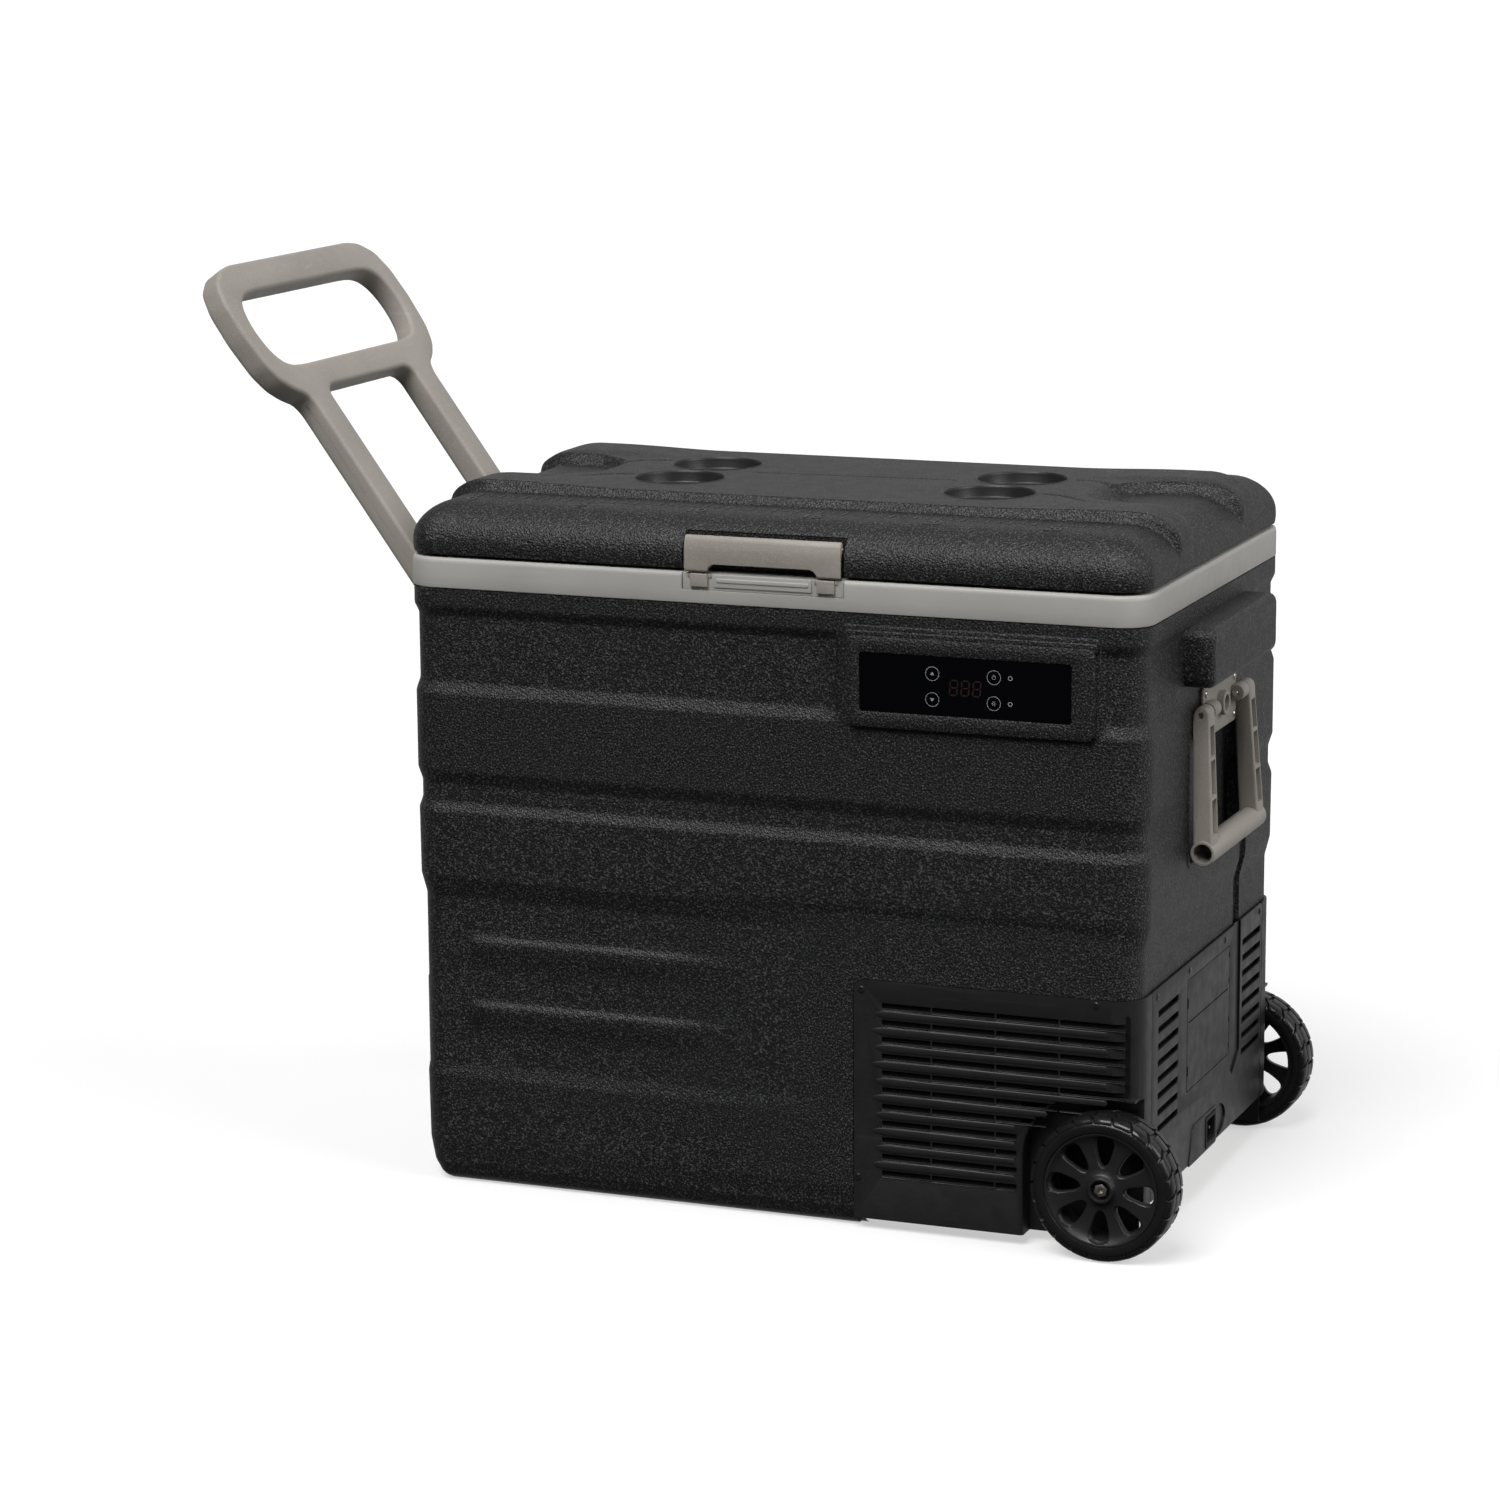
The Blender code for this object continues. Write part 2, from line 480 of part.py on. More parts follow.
# ---------------------------------------------------------------- wheels and axle
rod("axle", "y", WHEEL_X, WHEEL_Z, AXLE_R, -0.2715, 0.2715, STEEL, 20)
petal_shape = [(0.0215, 0.0), (0.0270, 0.0060), (0.0430, 0.0088), (0.0495, 0.0050), (0.0505, 0.0)]
petal_shape += [(r, -w) for r, w in petal_shape[-2:0:-1]]
for name, side in (("front", -1), ("rear", 1)):
    def out(depth):
        return side * (WHEEL_FACE - depth)

    rim_profile = [(AXLE_R + 0.00009, out(0.0365)), (AXLE_R + 0.00009, out(0.0067)), (0.0110, out(0.0067)),
                   (0.0110, out(-0.0004)), (0.0150, out(-0.0004)), (0.0170, out(0.0060)), (0.0505, out(0.0070)),
                   (0.0540, out(0.0015)), (RIM_R, out(0.0015)), (RIM_R, out(0.0400)), (0.0545, out(0.0400)),
                   (0.0520, out(0.0120)), (0.0170, out(0.0120)), (0.0145, out(0.0365))]
    rim = lathe(f"{name}_wheel_rim", rim_profile, "y", WHEEL_X, WHEEL_Z, SATIN, 20)
    petals = []
    for k in range(8):
        a = 2 * math.pi * (k - 0.07) / 8
        c, s = math.cos(a), math.sin(a)
        outline = [(WHEEL_X + r * c - w * s, WHEEL_Z + r * s + w * c) for r, w in petal_shape]
        petals.append(prism_data(outline, "y", *sorted((out(0.0020), out(0.0180)))))
    cut(rim, add(f"{name}_petals", *merged(petals), cutter=True))
    tyre_profile = [(RIM_R + GAP, out(0.0010)), (0.0690, out(0.0)), (0.0735, out(0.0045)), (0.0755, out(0.0110)),
                    (0.0755, out(0.0330)), (0.0735, out(0.0395)), (0.0690, out(0.0440)), (RIM_R + GAP, out(0.0430))]
    lathe(f"{name}_tyre", tyre_profile, "y", WHEEL_X, WHEEL_Z, RUBBER, 20)
    rod(f"{name}_wheel_bolt", "y", WHEEL_X, WHEEL_Z, 0.0075, *sorted((out(0.0067), out(0.0020))), STEEL, 12)

# ---------------------------------------------------------------- tow handle (raised position)
along = Vector((-math.cos(TOW_TILT), 0, math.sin(TOW_TILT)))
normal = Vector((math.sin(TOW_TILT), 0, math.cos(TOW_TILT)))
tow_origin = Vector((TOW_X, 0, TOW_Z))


def tow_point(s, y, n):
    return tow_origin + along * s + normal * n + Vector((0, y, 0))


def tow_prism(outline, low, high):
    return loft_data([[tow_point(s, y, n) for s, y in outline] for n in (low, high)])


def mirrored(points):
    return points + [(s, -y) for s, y in reversed(points)]


half_t = TOW_T / 2
tow_half = [(0.3385, 0.0920), (0.3300, ARM_IN), (-0.0070, ARM_IN), (-0.0070, ARM_OUT),
              (0.3220, ARM_OUT), (0.3340, 0.1510), (0.3420, 0.1680), (0.3560, 0.1850), (0.3780, 0.1960),
              (0.4180, 0.2010), (0.4560, 0.1985), (0.4820, 0.1870), (0.4960, 0.1640), (0.5000, 0.1400)]
tow_handle = add("tow_handle", *tow_prism(mirrored(tow_half), -half_t, half_t), TAUPE)
grip_half = [(0.3700, 0.1200), (0.3730, 0.1500), (0.3860, 0.1660), (0.4080, 0.1735), (0.4320, 0.1730), (0.4520, 0.1640),
             (0.4620, 0.1460), (0.4640, 0.1200)]
tow_cuts = [tow_prism(mirrored(grip_half), -0.05, 0.05)]
for s in (-1, 1):
    tow_cuts.append(rod_data("y", TOW_X, TOW_Z, 0.0041, *sorted((s * 0.0900, s * 0.1600)), 16))
cut(tow_handle, add("tow_cuts", *merged(tow_cuts), cutter=True))
hollows = [tow_prism([(0.4690, -0.1300), (0.4950, -0.1300), (0.4950, 0.1300), (0.4690, 0.1300)], -0.05, 0.0085),
           tow_prism([(0.3430, -0.0880), (0.3650, -0.0880), (0.3650, 0.0880), (0.3430, 0.0880)], -0.05, 0.0085)]
for s in (-1, 1):
    a, b = sorted((s * (ARM_IN + 0.0045), s * (ARM_OUT - 0.0045)))
    hollows.append(tow_prism([(0.0200, a), (0.3250, a), (0.3250, b), (0.0200, b)], -0.05, 0.0085))
    a, b = sorted((s * 0.1785, s * 0.1935))
    hollows.append(tow_prism([(0.3850, a), (0.4500, a), (0.4500, b), (0.3850, b)], -0.05, 0.0085))
cut(tow_handle, add("tow_hollows", *merged(hollows), cutter=True))

for name, s in (("front", -1), ("rear", 1)):
    lo, hi = sorted((s * 0.0985, s * 0.1505))
    bracket = box(f"{name}_tow_bracket", (-0.3588, lo, 0.5250), (-0.3563, hi, 0.5690), TAUPE)
    sides = [sorted((s * y, s * (y + 0.0036))) for y in (0.0991, 0.1461)]
    lugs = merged([box_data((-0.3860, a, 0.5360), (-0.3575, b, 0.5580)) for a, b in sides])
    join(bracket, add(f"{name}_tow_lugs", *lugs, cutter=True))
    cut(bracket, rod(f"{name}_tow_bore", "y", TOW_X, TOW_Z, 0.0042, *sorted((s * 0.0900, s * 0.1600)), n=16, cutter=True))
    rod(f"{name}_tow_pin", "y", TOW_X, TOW_Z, 0.0040, *sorted((s * 0.0980, s * 0.1515)), STEEL, 16)

# ---------------------------------------------------------------- carry handle at the wheel end
bracket = box("carry_bracket", (HALF_X + GAP, -0.0620, 0.4955), (HALF_X + 0.0040, 0.0620, 0.5500), TAUPE)
knuckles = merged([rod_data("y", CARRY_X, CARRY_Z, 0.0088, *sorted((s * 0.0420, s * 0.0645)), 16) for s in (-1, 1)]
                  + [rod_data("x", 0.0, 0.5250, 0.0130, HALF_X + 0.0020, HALF_X + 0.0120, 16)])
join(bracket, add("carry_knuckles", *knuckles, cutter=True))
cut(bracket, rod("carry_bore", "y", CARRY_X, CARRY_Z, 0.0032, -0.0700, 0.0700, n=12, cutter=True))
cut(bracket, rod("carry_eye", "x", 0.0, 0.5250, 0.0090, HALF_X + 0.0060, HALF_X + 0.0200, n=16, cutter=True))
rod("carry_pin", "y", CARRY_X, CARRY_Z, 0.0030, -0.0880, 0.0880, STEEL, 12)

grip_x = CARRY_X + CARRY_LEAN
grip_z = CARRY_Z - CARRY_DROP
carry_handle = rod("carry_handle", "y", grip_x, grip_z, 0.0130, -0.1000, 0.1000, TAUPE, 16)
for s in (-1, 1):
    levels = [(CARRY_Z + 0.0078, CARRY_X, 0.0035, 0.0770, 0.0100), (CARRY_Z + 0.0058, CARRY_X, 0.0062, 0.0770, 0.0105),
              (CARRY_Z + 0.0015, CARRY_X, 0.0082, 0.0770, 0.0110), (CARRY_Z - 0.0100, CARRY_X, 0.0088, 0.0775, 0.0115),
              (grip_z + 0.0020, grip_x, 0.0105, 0.0870, 0.0125)]
    rings = [[(x - hx, s * y - hy, z), (x + hx, s * y - hy, z), (x + hx, s * y + hy, z), (x - hx, s * y + hy, z)]
             for z, x, hx, y, hy in levels]
    join(carry_handle, add(f"carry_arm_{'front' if s < 0 else 'rear'}", *loft_data(rings), cutter=True))
carry_cuts = [rod_data("y", CARRY_X, CARRY_Z, 0.0032, -0.1100, 0.1100, 12),
              rod_data("y", grip_x, grip_z, 0.0100, -0.1100, 0.1100, 16)]
cut(carry_handle, add("carry_cuts", *merged(carry_cuts), cutter=True))

# ---------------------------------------------------------------- lid
LID_LEVELS = [(LID_Z, 0.0015), (0.6860, 0.0004), (0.6960, 0.0010), (0.7080, 0.0060), (0.7180, 0.0140),
              (0.7260, 0.0260), (0.7300, 0.0380), (RULER_Z, 0.0520)]


def lid_ring(z, inset):
    r = max(CORNER + 0.006 - 0.4 * inset, 0.016)
    return [(x, y, z) for x, y in rounded_rect(0, 0, HALF_X - inset, HALF_Y - inset, r)]


lid_shell = add("lid_shell", *loft_data([lid_ring(*level) for level in LID_LEVELS]), BLACK)
plateau = loft_data([[(x, y, z) for x, y in rounded_rect(0, 0, hx, hy, 0.030)]
                     for z, hx, hy in ((0.7000, 0.3900, 0.1640), (0.7250, 0.3840, 0.1600), (0.7310, 0.3780, 0.1570),
                                       (PLATEAU_Z - 0.0030, 0.3640, 0.1520), (PLATEAU_Z, 0.3500, 0.1485))])
join(lid_shell, add("plateau", *plateau, cutter=True))
lid_cuts = [rod_data("z", sx * CUP_X, sy * CUP_Y, CUP_R, 0.7270, 0.76, 28) for sx in (-1, 1) for sy in (-1, 1)]
for s in (-1, 1):
    ends = [(s * 0.2780, 0.0520), (s * 0.3150, 0.0760), (s * 0.4200, 0.0760)]
    outline = ends + [(x, -y) for x, y in reversed(ends)]
    lid_cuts.append(loft_data([[(x, y, 0.7305 if k == 0 else 0.76) for x, y in outline] for k in (0, 1)]))
cut(lid_shell, add("lid_tops", *merged(lid_cuts), cutter=True))
lid_under = loft_data([[(x, y, z) for x, y in rounded_rect(0, 0, HALF_X - i, HALF_Y - i, 0.020)]
                       for z, i in ((0.6000, 0.0240), (0.7050, 0.0240), (0.7200, 0.0480))])
cut(lid_shell, add("lid_hollow", *lid_under, cutter=True))
cut(lid_shell, box("latch_pocket", (-LATCH_HALF - 0.0025, -0.30, 0.60), (LATCH_HALF + 0.0025, -0.2420, 0.7165),
                   cutter=True))

inner_panel = prism("lid_inner_panel", rounded_rect(0, 0, HALF_X - 0.0243, HALF_Y - 0.0243, 0.020), "z",
                    0.6770, 0.6790, WHITE)
join(inner_panel, prism("lid_plug", rounded_rect(0, 0, 0.3230, 0.1790, 0.020), "z", 0.6560, 0.6780, cutter=True))
foam_lid = loft_data([[(x, y, z) for x, y in rounded_rect(0, 0, HALF_X - i, HALF_Y - i, 0.020)]
                      for z, i in ((0.6793, 0.0243), (0.7045, 0.0243), (0.7194, 0.0483))])
add("lid_foam", *foam_lid, FOAM)
gasket_out = rounded_rect(0, 0, 0.3560, 0.2120, 0.020)
gasket_in = rounded_rect(0, 0, 0.3420, 0.1980, 0.010)
add("lid_gasket", *torus_data([[(x, y, 0.6753) for x, y in gasket_out], [(x, y, 0.6767) for x, y in gasket_out],
                               [(x, y, 0.6767) for x, y in gasket_in], [(x, y, 0.6753) for x, y in gasket_in]]),
    RUBBER)

for name, x in (("left", -0.2200), ("right", 0.2200)):
    leaf = box(f"{name}_hinge_leaf", (x - 0.0220, HALF_Y + 0.0009, 0.6450), (x + 0.0220, HALF_Y + 0.0034, 0.6720), STEEL)
    join(leaf, rod(f"{name}_leaf_knuckle", "x", HINGE_Y, HINGE_Z, 0.0050, x - 0.0220, x - 0.0005, n=12, cutter=True))
    join(leaf, box(f"{name}_leaf_web", (x - 0.0220, HALF_Y + 0.0010, 0.6690), (x - 0.0005, HINGE_Y, 0.6730),
                   cutter=True))
    cut(leaf, rod(f"{name}_leaf_bore", "x", HINGE_Y, HINGE_Z, 0.0022, x - 0.03, x + 0.03, n=12, cutter=True))
    wing = box(f"{name}_lid_wing", (x - 0.0220, HALF_Y + 0.0003, 0.6830), (x + 0.0220, HALF_Y + 0.0028, 0.7000), STEEL)
    join(wing, rod(f"{name}_wing_knuckle", "x", HINGE_Y, HINGE_Z, 0.0050, x + 0.0005, x + 0.0220, n=12, cutter=True))
    join(wing, box(f"{name}_wing_web", (x + 0.0005, HALF_Y + 0.0004, 0.6800), (x + 0.0220, HINGE_Y, 0.6840),
                   cutter=True))
    cut(wing, rod(f"{name}_wing_bore", "x", HINGE_Y, HINGE_Z, 0.0022, x - 0.03, x + 0.03, n=12, cutter=True))
    rod(f"{name}_hinge_pin", "x", HINGE_Y, HINGE_Z, 0.0020, x - 0.0230, x + 0.0230, STEEL, 12)

# ---------------------------------------------------------------- latch
latch_profile = [(-0.2505, 0.7120), (-0.2540, 0.7135), (-0.2570, 0.7100), (-0.2592, 0.7000), (-0.2592, 0.6765),
                 (-0.2540, 0.6765), (-0.2540, 0.6950), (-0.2530, 0.7000), (-0.2490, 0.7010)]
latch = prism("latch", latch_profile, "x", -LATCH_HALF, LATCH_HALF, TAUPE)
cut(latch, box("latch_gap", (-0.0540, -0.28, 0.66), (0.0540, -0.24, 0.6845), cutter=True))
cut(latch, rod("latch_bore", "x", LATCH_Y, LATCH_Z, 0.0016, -0.1, 0.1, n=10, cutter=True))
rod("latch_pin", "x", LATCH_Y, LATCH_Z, 0.0015, -LATCH_HALF - 0.0015, LATCH_HALF + 0.0015, STEEL, 10)
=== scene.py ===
"""Looks of the wheeled compressor cooler fridge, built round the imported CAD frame.

Metres, +Z up. X runs along the length, the control panel faces -Y, the wheels are at the +X end.
Each visual piece rides on the CAD body it belongs to. CAD nodes whose shape is right only get a material.
"""

import math

import bmesh
import bpy
import numpy as np
from mathutils import Matrix, Vector


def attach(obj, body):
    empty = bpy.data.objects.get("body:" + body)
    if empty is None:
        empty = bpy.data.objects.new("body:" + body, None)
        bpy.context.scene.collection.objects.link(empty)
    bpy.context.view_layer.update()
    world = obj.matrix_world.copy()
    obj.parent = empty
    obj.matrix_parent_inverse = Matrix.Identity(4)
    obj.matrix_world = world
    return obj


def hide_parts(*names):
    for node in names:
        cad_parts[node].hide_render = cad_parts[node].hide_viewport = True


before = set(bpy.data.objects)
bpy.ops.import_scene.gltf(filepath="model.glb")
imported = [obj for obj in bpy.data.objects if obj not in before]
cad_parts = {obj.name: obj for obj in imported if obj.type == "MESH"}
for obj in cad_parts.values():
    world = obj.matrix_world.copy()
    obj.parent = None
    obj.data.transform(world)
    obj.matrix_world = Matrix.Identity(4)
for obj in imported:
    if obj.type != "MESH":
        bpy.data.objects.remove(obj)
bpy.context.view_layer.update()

# ---------------------------------------------------------------- sizes shared with the CAD (metres)
HALF_X, HALF_Y = 0.402, 0.2558
CORNER = 0.034
BAY_X, BAY_Z = 0.0945, 0.2655
LINER_X, LINER_Y = 0.334, 0.19
WHEEL_X, WHEEL_Z, WHEEL_FACE = 0.367, 0.0755, 0.2785
AXLE_R = 0.006
LID_Z, TERRACE_Z, PLATEAU_Z = 0.6775, 0.731, 0.74
CUPS = [(sx * 0.173, sy * 0.0536) for sx in (-1, 1) for sy in (-1, 1)]
LATCH_HALF = 0.0845
TOW_X, TOW_Z, TOW_TILT, TOW_HALF_T = -0.374, 0.547, math.radians(54.1), 0.013
ARM_OUT, ARM_IN = 0.1455, 0.1035
CARRY_X, CARRY_Z, CARRY_DROP, CARRY_LEAN = 0.4112, 0.5275, 0.141, 0.0065
WINDOW = (0.1055, 0.328, 0.545, 0.605)
KEYS = {"key_up": (0.1832, 0.5875), "key_down": (0.1832, 0.5613), "key_power": (0.2478, 0.5875),
    "key_set": (0.2478, 0.5613)}
DOOR_Y, DOOR_Z = (-0.08, 0.079), (0.1278, 0.2462)
SLOT_PITCH = 0.0177
COVER_OUT, COVER_T = 0.0035, 0.003
ARCH_X, ARCH_TOP, ARCH_R = 0.2775, 0.161, 0.065


# ---------------------------------------------------------------- materials
def surface(name, colour, rough, specular=0.4, metal=0.0, cell=420.0, grain=0.0003, bump=0.4, pebble=0.5,
        vary=0.1, speck_and_glint=0.0, scuff=0.0, coat=0.0, spread=0.07, brushed=None):
    """Moulded plastic, rubber or metal: mottled colour, specks and painted highlights on the grain tops,
    uneven roughness, grain and faint scuffs.
    """
    mat = bpy.data.materials.new(name)
    mat.use_nodes = True
    nodes, links = mat.node_tree.nodes, mat.node_tree.links
    shader = nodes["Principled BSDF"]
    shader.inputs["Metallic"].default_value = metal
    shader.inputs["Specular IOR Level"].default_value = specular
    shader.inputs["Coat Weight"].default_value = coat
    where = nodes.new("ShaderNodeTexCoord").outputs["Object"]

    def noise(scale, detail, stretch=None):
        node = nodes.new("ShaderNodeTexNoise")
        node.inputs["Scale"].default_value = scale
        node.inputs["Detail"].default_value = detail
        source = where
        if stretch:
            mapping = nodes.new("ShaderNodeMapping")
            mapping.inputs["Scale"].default_value = stretch
            links.new(where, mapping.inputs["Vector"])
            source = mapping.outputs["Vector"]
        links.new(source, node.inputs["Vector"])
        return node.outputs["Fac"]

    def ranged(value, low, high, out_low, out_high):
        node = nodes.new("ShaderNodeMapRange")
        links.new(value, node.inputs["Value"])
        for socket, number in zip(("From Min", "From Max", "To Min", "To Max"),
                (low, high, out_low, out_high)):
            node.inputs[socket].default_value = number
        return node.outputs["Result"]

    def maths(kind, a, b):
        node = nodes.new("ShaderNodeMath")
        node.operation = kind
        for socket, value in zip(node.inputs, (a, b)):
            if isinstance(value, float):
                socket.default_value = value
            else:
                links.new(value, socket)
        return node.outputs[0]

    def mixed(factor, a, b):
        node = nodes.new("ShaderNodeMix")
        node.data_type = "RGBA"
        links.new(factor, node.inputs["Factor"])
        for socket, value in zip((node.inputs[6], node.inputs[7]), (a, b)):
            if isinstance(value, tuple):
                socket.default_value = (*value, 1.0)
            else:
                links.new(value, socket)
        return node.outputs[2]

    dark = tuple(c * (1 - vary) for c in colour)
    light = tuple(min(1.0, c * (1 + vary)) for c in colour)
    tint = mixed(ranged(noise(9.0, 5.0), 0.35, 0.65, 0.0, 1.0), dark, light)
    fine = noise(cell, 3.0, brushed)
    # Specks: at low strength they are light flecks in the material; at high strength (shell and lid) they are
    # painted highlights on the grain tops.
    if speck_and_glint:
        speck_glint_colour = tuple(min(1.0, c * (1 + speck_and_glint) + 0.004 * speck_and_glint) for c in colour)
        tint = mixed(ranged(noise(cell * 0.9, 2.0), 0.52, 0.68, 0.0, 1.0), tint, speck_glint_colour)
    roughness = ranged(noise(55.0, 3.0, brushed), 0.3, 0.7, rough - spread, rough + spread)
    if scuff:
        marks = ranged(noise(7.0, 6.0, (1.0, 3.0, 22.0)), 0.64, 0.74, 0.0, scuff)
        worn = tuple(min(1.0, c * 1.9 + 0.012) for c in colour)
        tint = mixed(marks, tint, worn)
        roughness = maths("ADD", roughness, maths("MULTIPLY", marks, 0.2))
    links.new(tint, shader.inputs["Base Color"])
    links.new(roughness, shader.inputs["Roughness"])
    cells = nodes.new("ShaderNodeTexVoronoi")
    cells.inputs["Scale"].default_value = cell * 0.8
    links.new(where, cells.inputs["Vector"])
    height = maths("ADD", maths("MULTIPLY", fine, 1.0 - pebble), maths("MULTIPLY", cells.outputs["Distance"],
        pebble))
    relief = nodes.new("ShaderNodeBump")
    relief.inputs["Strength"].default_value = bump
    relief.inputs["Distance"].default_value = grain
    links.new(height, relief.inputs["Height"])
    links.new(relief.outputs["Normal"], shader.inputs["Normal"])
    return mat


BLACK = (0.008, 0.008, 0.0084)
M = {
    # Shell and lid: the strong bright specks are painted highlights on the grain tops, not flecks in the
    # plastic.
    "shell": surface("shell_grain_glints", BLACK, 0.46, 0.42, grain=0.0012, bump=1.0, cell=560.0, vary=0.05,
        speck_and_glint=6.0, scuff=0.04, spread=0.03),
    "lid": surface("lid_grain_glints", BLACK, 0.46, 0.42, grain=0.0012, bump=1.0, cell=560.0, vary=0.05, speck_and_glint=6.0,
        scuff=0.04, spread=0.03),
    "satin": surface("satin_cover", (0.015, 0.015, 0.016), 0.42, 0.45, grain=0.0003, bump=0.35, cell=900.0,
        speck_and_glint=0.2, scuff=0.25),
    "band": surface("band_plastic", (0.45, 0.44, 0.415), 0.42, 0.35, grain=0.0003, bump=0.35, cell=700.0,
        vary=0.05, scuff=0.1),
    "taupe": surface("taupe_plastic", (0.335, 0.308, 0.275), 0.46, 0.35, grain=0.0004, bump=0.5, cell=650.0,
        vary=0.06, speck_and_glint=0.15, scuff=0.12),
    "white": surface("liner_plastic", (0.74, 0.75, 0.76), 0.34, 0.45, grain=0.0002, bump=0.2, vary=0.03,
        scuff=0.05),
    "foam": surface("foam_cells", (0.7, 0.58, 0.31), 0.88, 0.2, grain=0.0009, bump=0.7, cell=500.0, vary=0.12,
        speck_and_glint=0.1),
    "steel": surface("zinc_steel", (0.56, 0.54, 0.47), 0.33, metal=1.0, grain=0.0001, bump=0.25, vary=0.1,
        scuff=0.2, brushed=(1.0, 8.0, 1.0)),
    "aluminium": surface("brushed_aluminium", (0.72, 0.73, 0.74), 0.38, metal=1.0, grain=0.0001, bump=0.25,
        vary=0.06, brushed=(1.0, 1.0, 9.0)),
    "copper": surface("copper_pipe", (0.7, 0.36, 0.21), 0.34, metal=1.0, grain=0.0001, bump=0.2, vary=0.14),
    "board": surface("board_lacquer", (0.006, 0.045, 0.02), 0.42, 0.45, grain=0.0002, bump=0.3, vary=0.15,
        speck_and_glint=0.4),
    "gloss": surface("gloss_lens", (0.0007, 0.0008, 0.0018), 0.08, 0.3, grain=0.00004, bump=0.1, vary=0.1,
        spread=0.02),
    "rubber": surface("moulded_rubber", (0.016, 0.016, 0.016), 0.62, 0.3, grain=0.0003, bump=0.4, cell=700.0,
        speck_and_glint=0.2, scuff=0.2),
    "tyre": surface("tyre_rubber", (0.01, 0.01, 0.01), 0.3, 0.5, grain=0.0003, bump=0.4, cell=600.0,
        scuff=0.2, spread=0.08),
    "lamp": surface("lamp_lens", (0.86, 0.88, 0.9), 0.22, 0.5, grain=0.0002, bump=0.2, vary=0.03),
    "enamel": surface("black_enamel", (0.012, 0.012, 0.013), 0.3, 0.5, grain=0.0003, bump=0.3, scuff=0.3,
        coat=0.2),
    # Near-black sheets behind the vent slots: painted shade standing for the dark bay inside.
    "mesh": surface("dust_screen", (0.004, 0.004, 0.004), 0.7, 0.15, grain=0.0006, bump=0.8, cell=900.0,
        vary=0.2, speck_and_glint=0.5),
    # Rule ticks and numbers: the lid's black plastic, lightened to paint in their glossy highlights.
    "rule": surface("raised_print", (0.05, 0.05, 0.051), 0.4, 0.5, grain=0.0002, bump=0.3, cell=700.0),
    "print": surface("grey_print", (0.34, 0.34, 0.34), 0.45, 0.3, grain=0.0001, bump=0.2, vary=0.05),
    "digit": surface("unlit_digits", (0.03, 0.014, 0.012), 0.25, 0.4, grain=0.00005, bump=0.1, vary=0.1),
}
SLOT_LOOKS = {"textured_black": "shell", "satin_black": "satin", "band_grey": "band", "taupe_grey": "taupe",
    "liner_white": "white", "foam_yellow": "foam", "steel": "steel", "aluminium": "aluminium",
    "copper": "copper", "circuit_board": "board", "gloss_black": "gloss", "rubber": "rubber", "tyre": "tyre",
    "lamp_white": "lamp", "compressor_black": "enamel"}
NODE_LOOKS = {"compressor": "enamel", "front_tyre": "tyre", "rear_tyre": "tyre"}
for node_name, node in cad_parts.items():
    for slot in node.material_slots:
        found = slot.material.name.split(".")[0] if slot.material else "textured_black"
        slot.material = M[NODE_LOOKS.get(node_name, SLOT_LOOKS.get(found, "satin"))]


# ---------------------------------------------------------------- mesh helpers
def mesh_of(name, shape, recalc=True):
    """Mesh from (verts, faces), with its faces turned outwards unless told not to."""
    mesh = bpy.data.meshes.new(name)
    mesh.from_pydata([tuple(v) for v in shape[0]], [], shape[1])
    if recalc:
        bm = bmesh.new()
        bm.from_mesh(mesh)
        bmesh.ops.recalc_face_normals(bm, faces=bm.faces)
        bm.to_mesh(mesh)
        bm.free()
    return mesh


def linked(name, data):
    obj = bpy.data.objects.new(name, data)
    bpy.context.scene.collection.objects.link(obj)
    return obj


def evaluated_mesh(obj):
    bpy.context.view_layer.update()
    return bpy.data.meshes.new_from_object(obj.evaluated_get(bpy.context.evaluated_depsgraph_get()))


def shade(obj, sharp):
    obj.data.shade_smooth()
    obj.data.set_sharp_from_angle(angle=math.radians(sharp))


def make(name, shape, look, body="cabinet", replaced=(), sharp=35.0, recalc=True):
    """A piece from (verts, faces), smooth below the sharp angle, riding on a CAD body."""
    obj = linked(name, mesh_of(name, shape, recalc))
    obj.data.materials.append(M[look])
    shade(obj, sharp)
    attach(obj, body)
    if replaced:
        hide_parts(*replaced)
    return obj


def carve(obj, shape, kind="DIFFERENCE", sharp=35.0):
    """Cuts a closed (verts, faces) out of the piece, or joins it on, and keeps the result as its mesh."""
    tool = linked("tool", mesh_of("tool", shape))
    mod = obj.modifiers.new("carve", "BOOLEAN")
    mod.operation, mod.solver, mod.object = kind, "EXACT", tool
    done, old, used = evaluated_mesh(obj), obj.data, tool.data
    obj.modifiers.remove(mod)
    obj.data = done
    bpy.data.objects.remove(tool)
    bpy.data.meshes.remove(old)
    bpy.data.meshes.remove(used)
    shade(obj, sharp)


def merged(*shapes):
    verts, faces = [], []
    for piece_verts, piece_faces in shapes:
        base = len(verts)
        verts += [tuple(v) for v in piece_verts]
        faces += [tuple(i + base for i in face) for face in piece_faces]
    return verts, faces


def loft(rings, caps=(True, True), around=False):
    """Surface through equal-count rings, closed at the ends by caps or on itself."""
    n, m = len(rings[0]), len(rings)
    verts = [p for ring in rings for p in ring]
    faces = []
    for k in range(m if around else m - 1):
        a, b = k * n, ((k + 1) % m) * n
        faces += [(a + i, a + (i + 1) % n, b + (i + 1) % n, b + i) for i in range(n)]
    if caps[0] and not around:
        faces.append(tuple(reversed(range(n))))
    if caps[1] and not around:
        faces.append(tuple(range((m - 1) * n, m * n)))
    return verts, faces


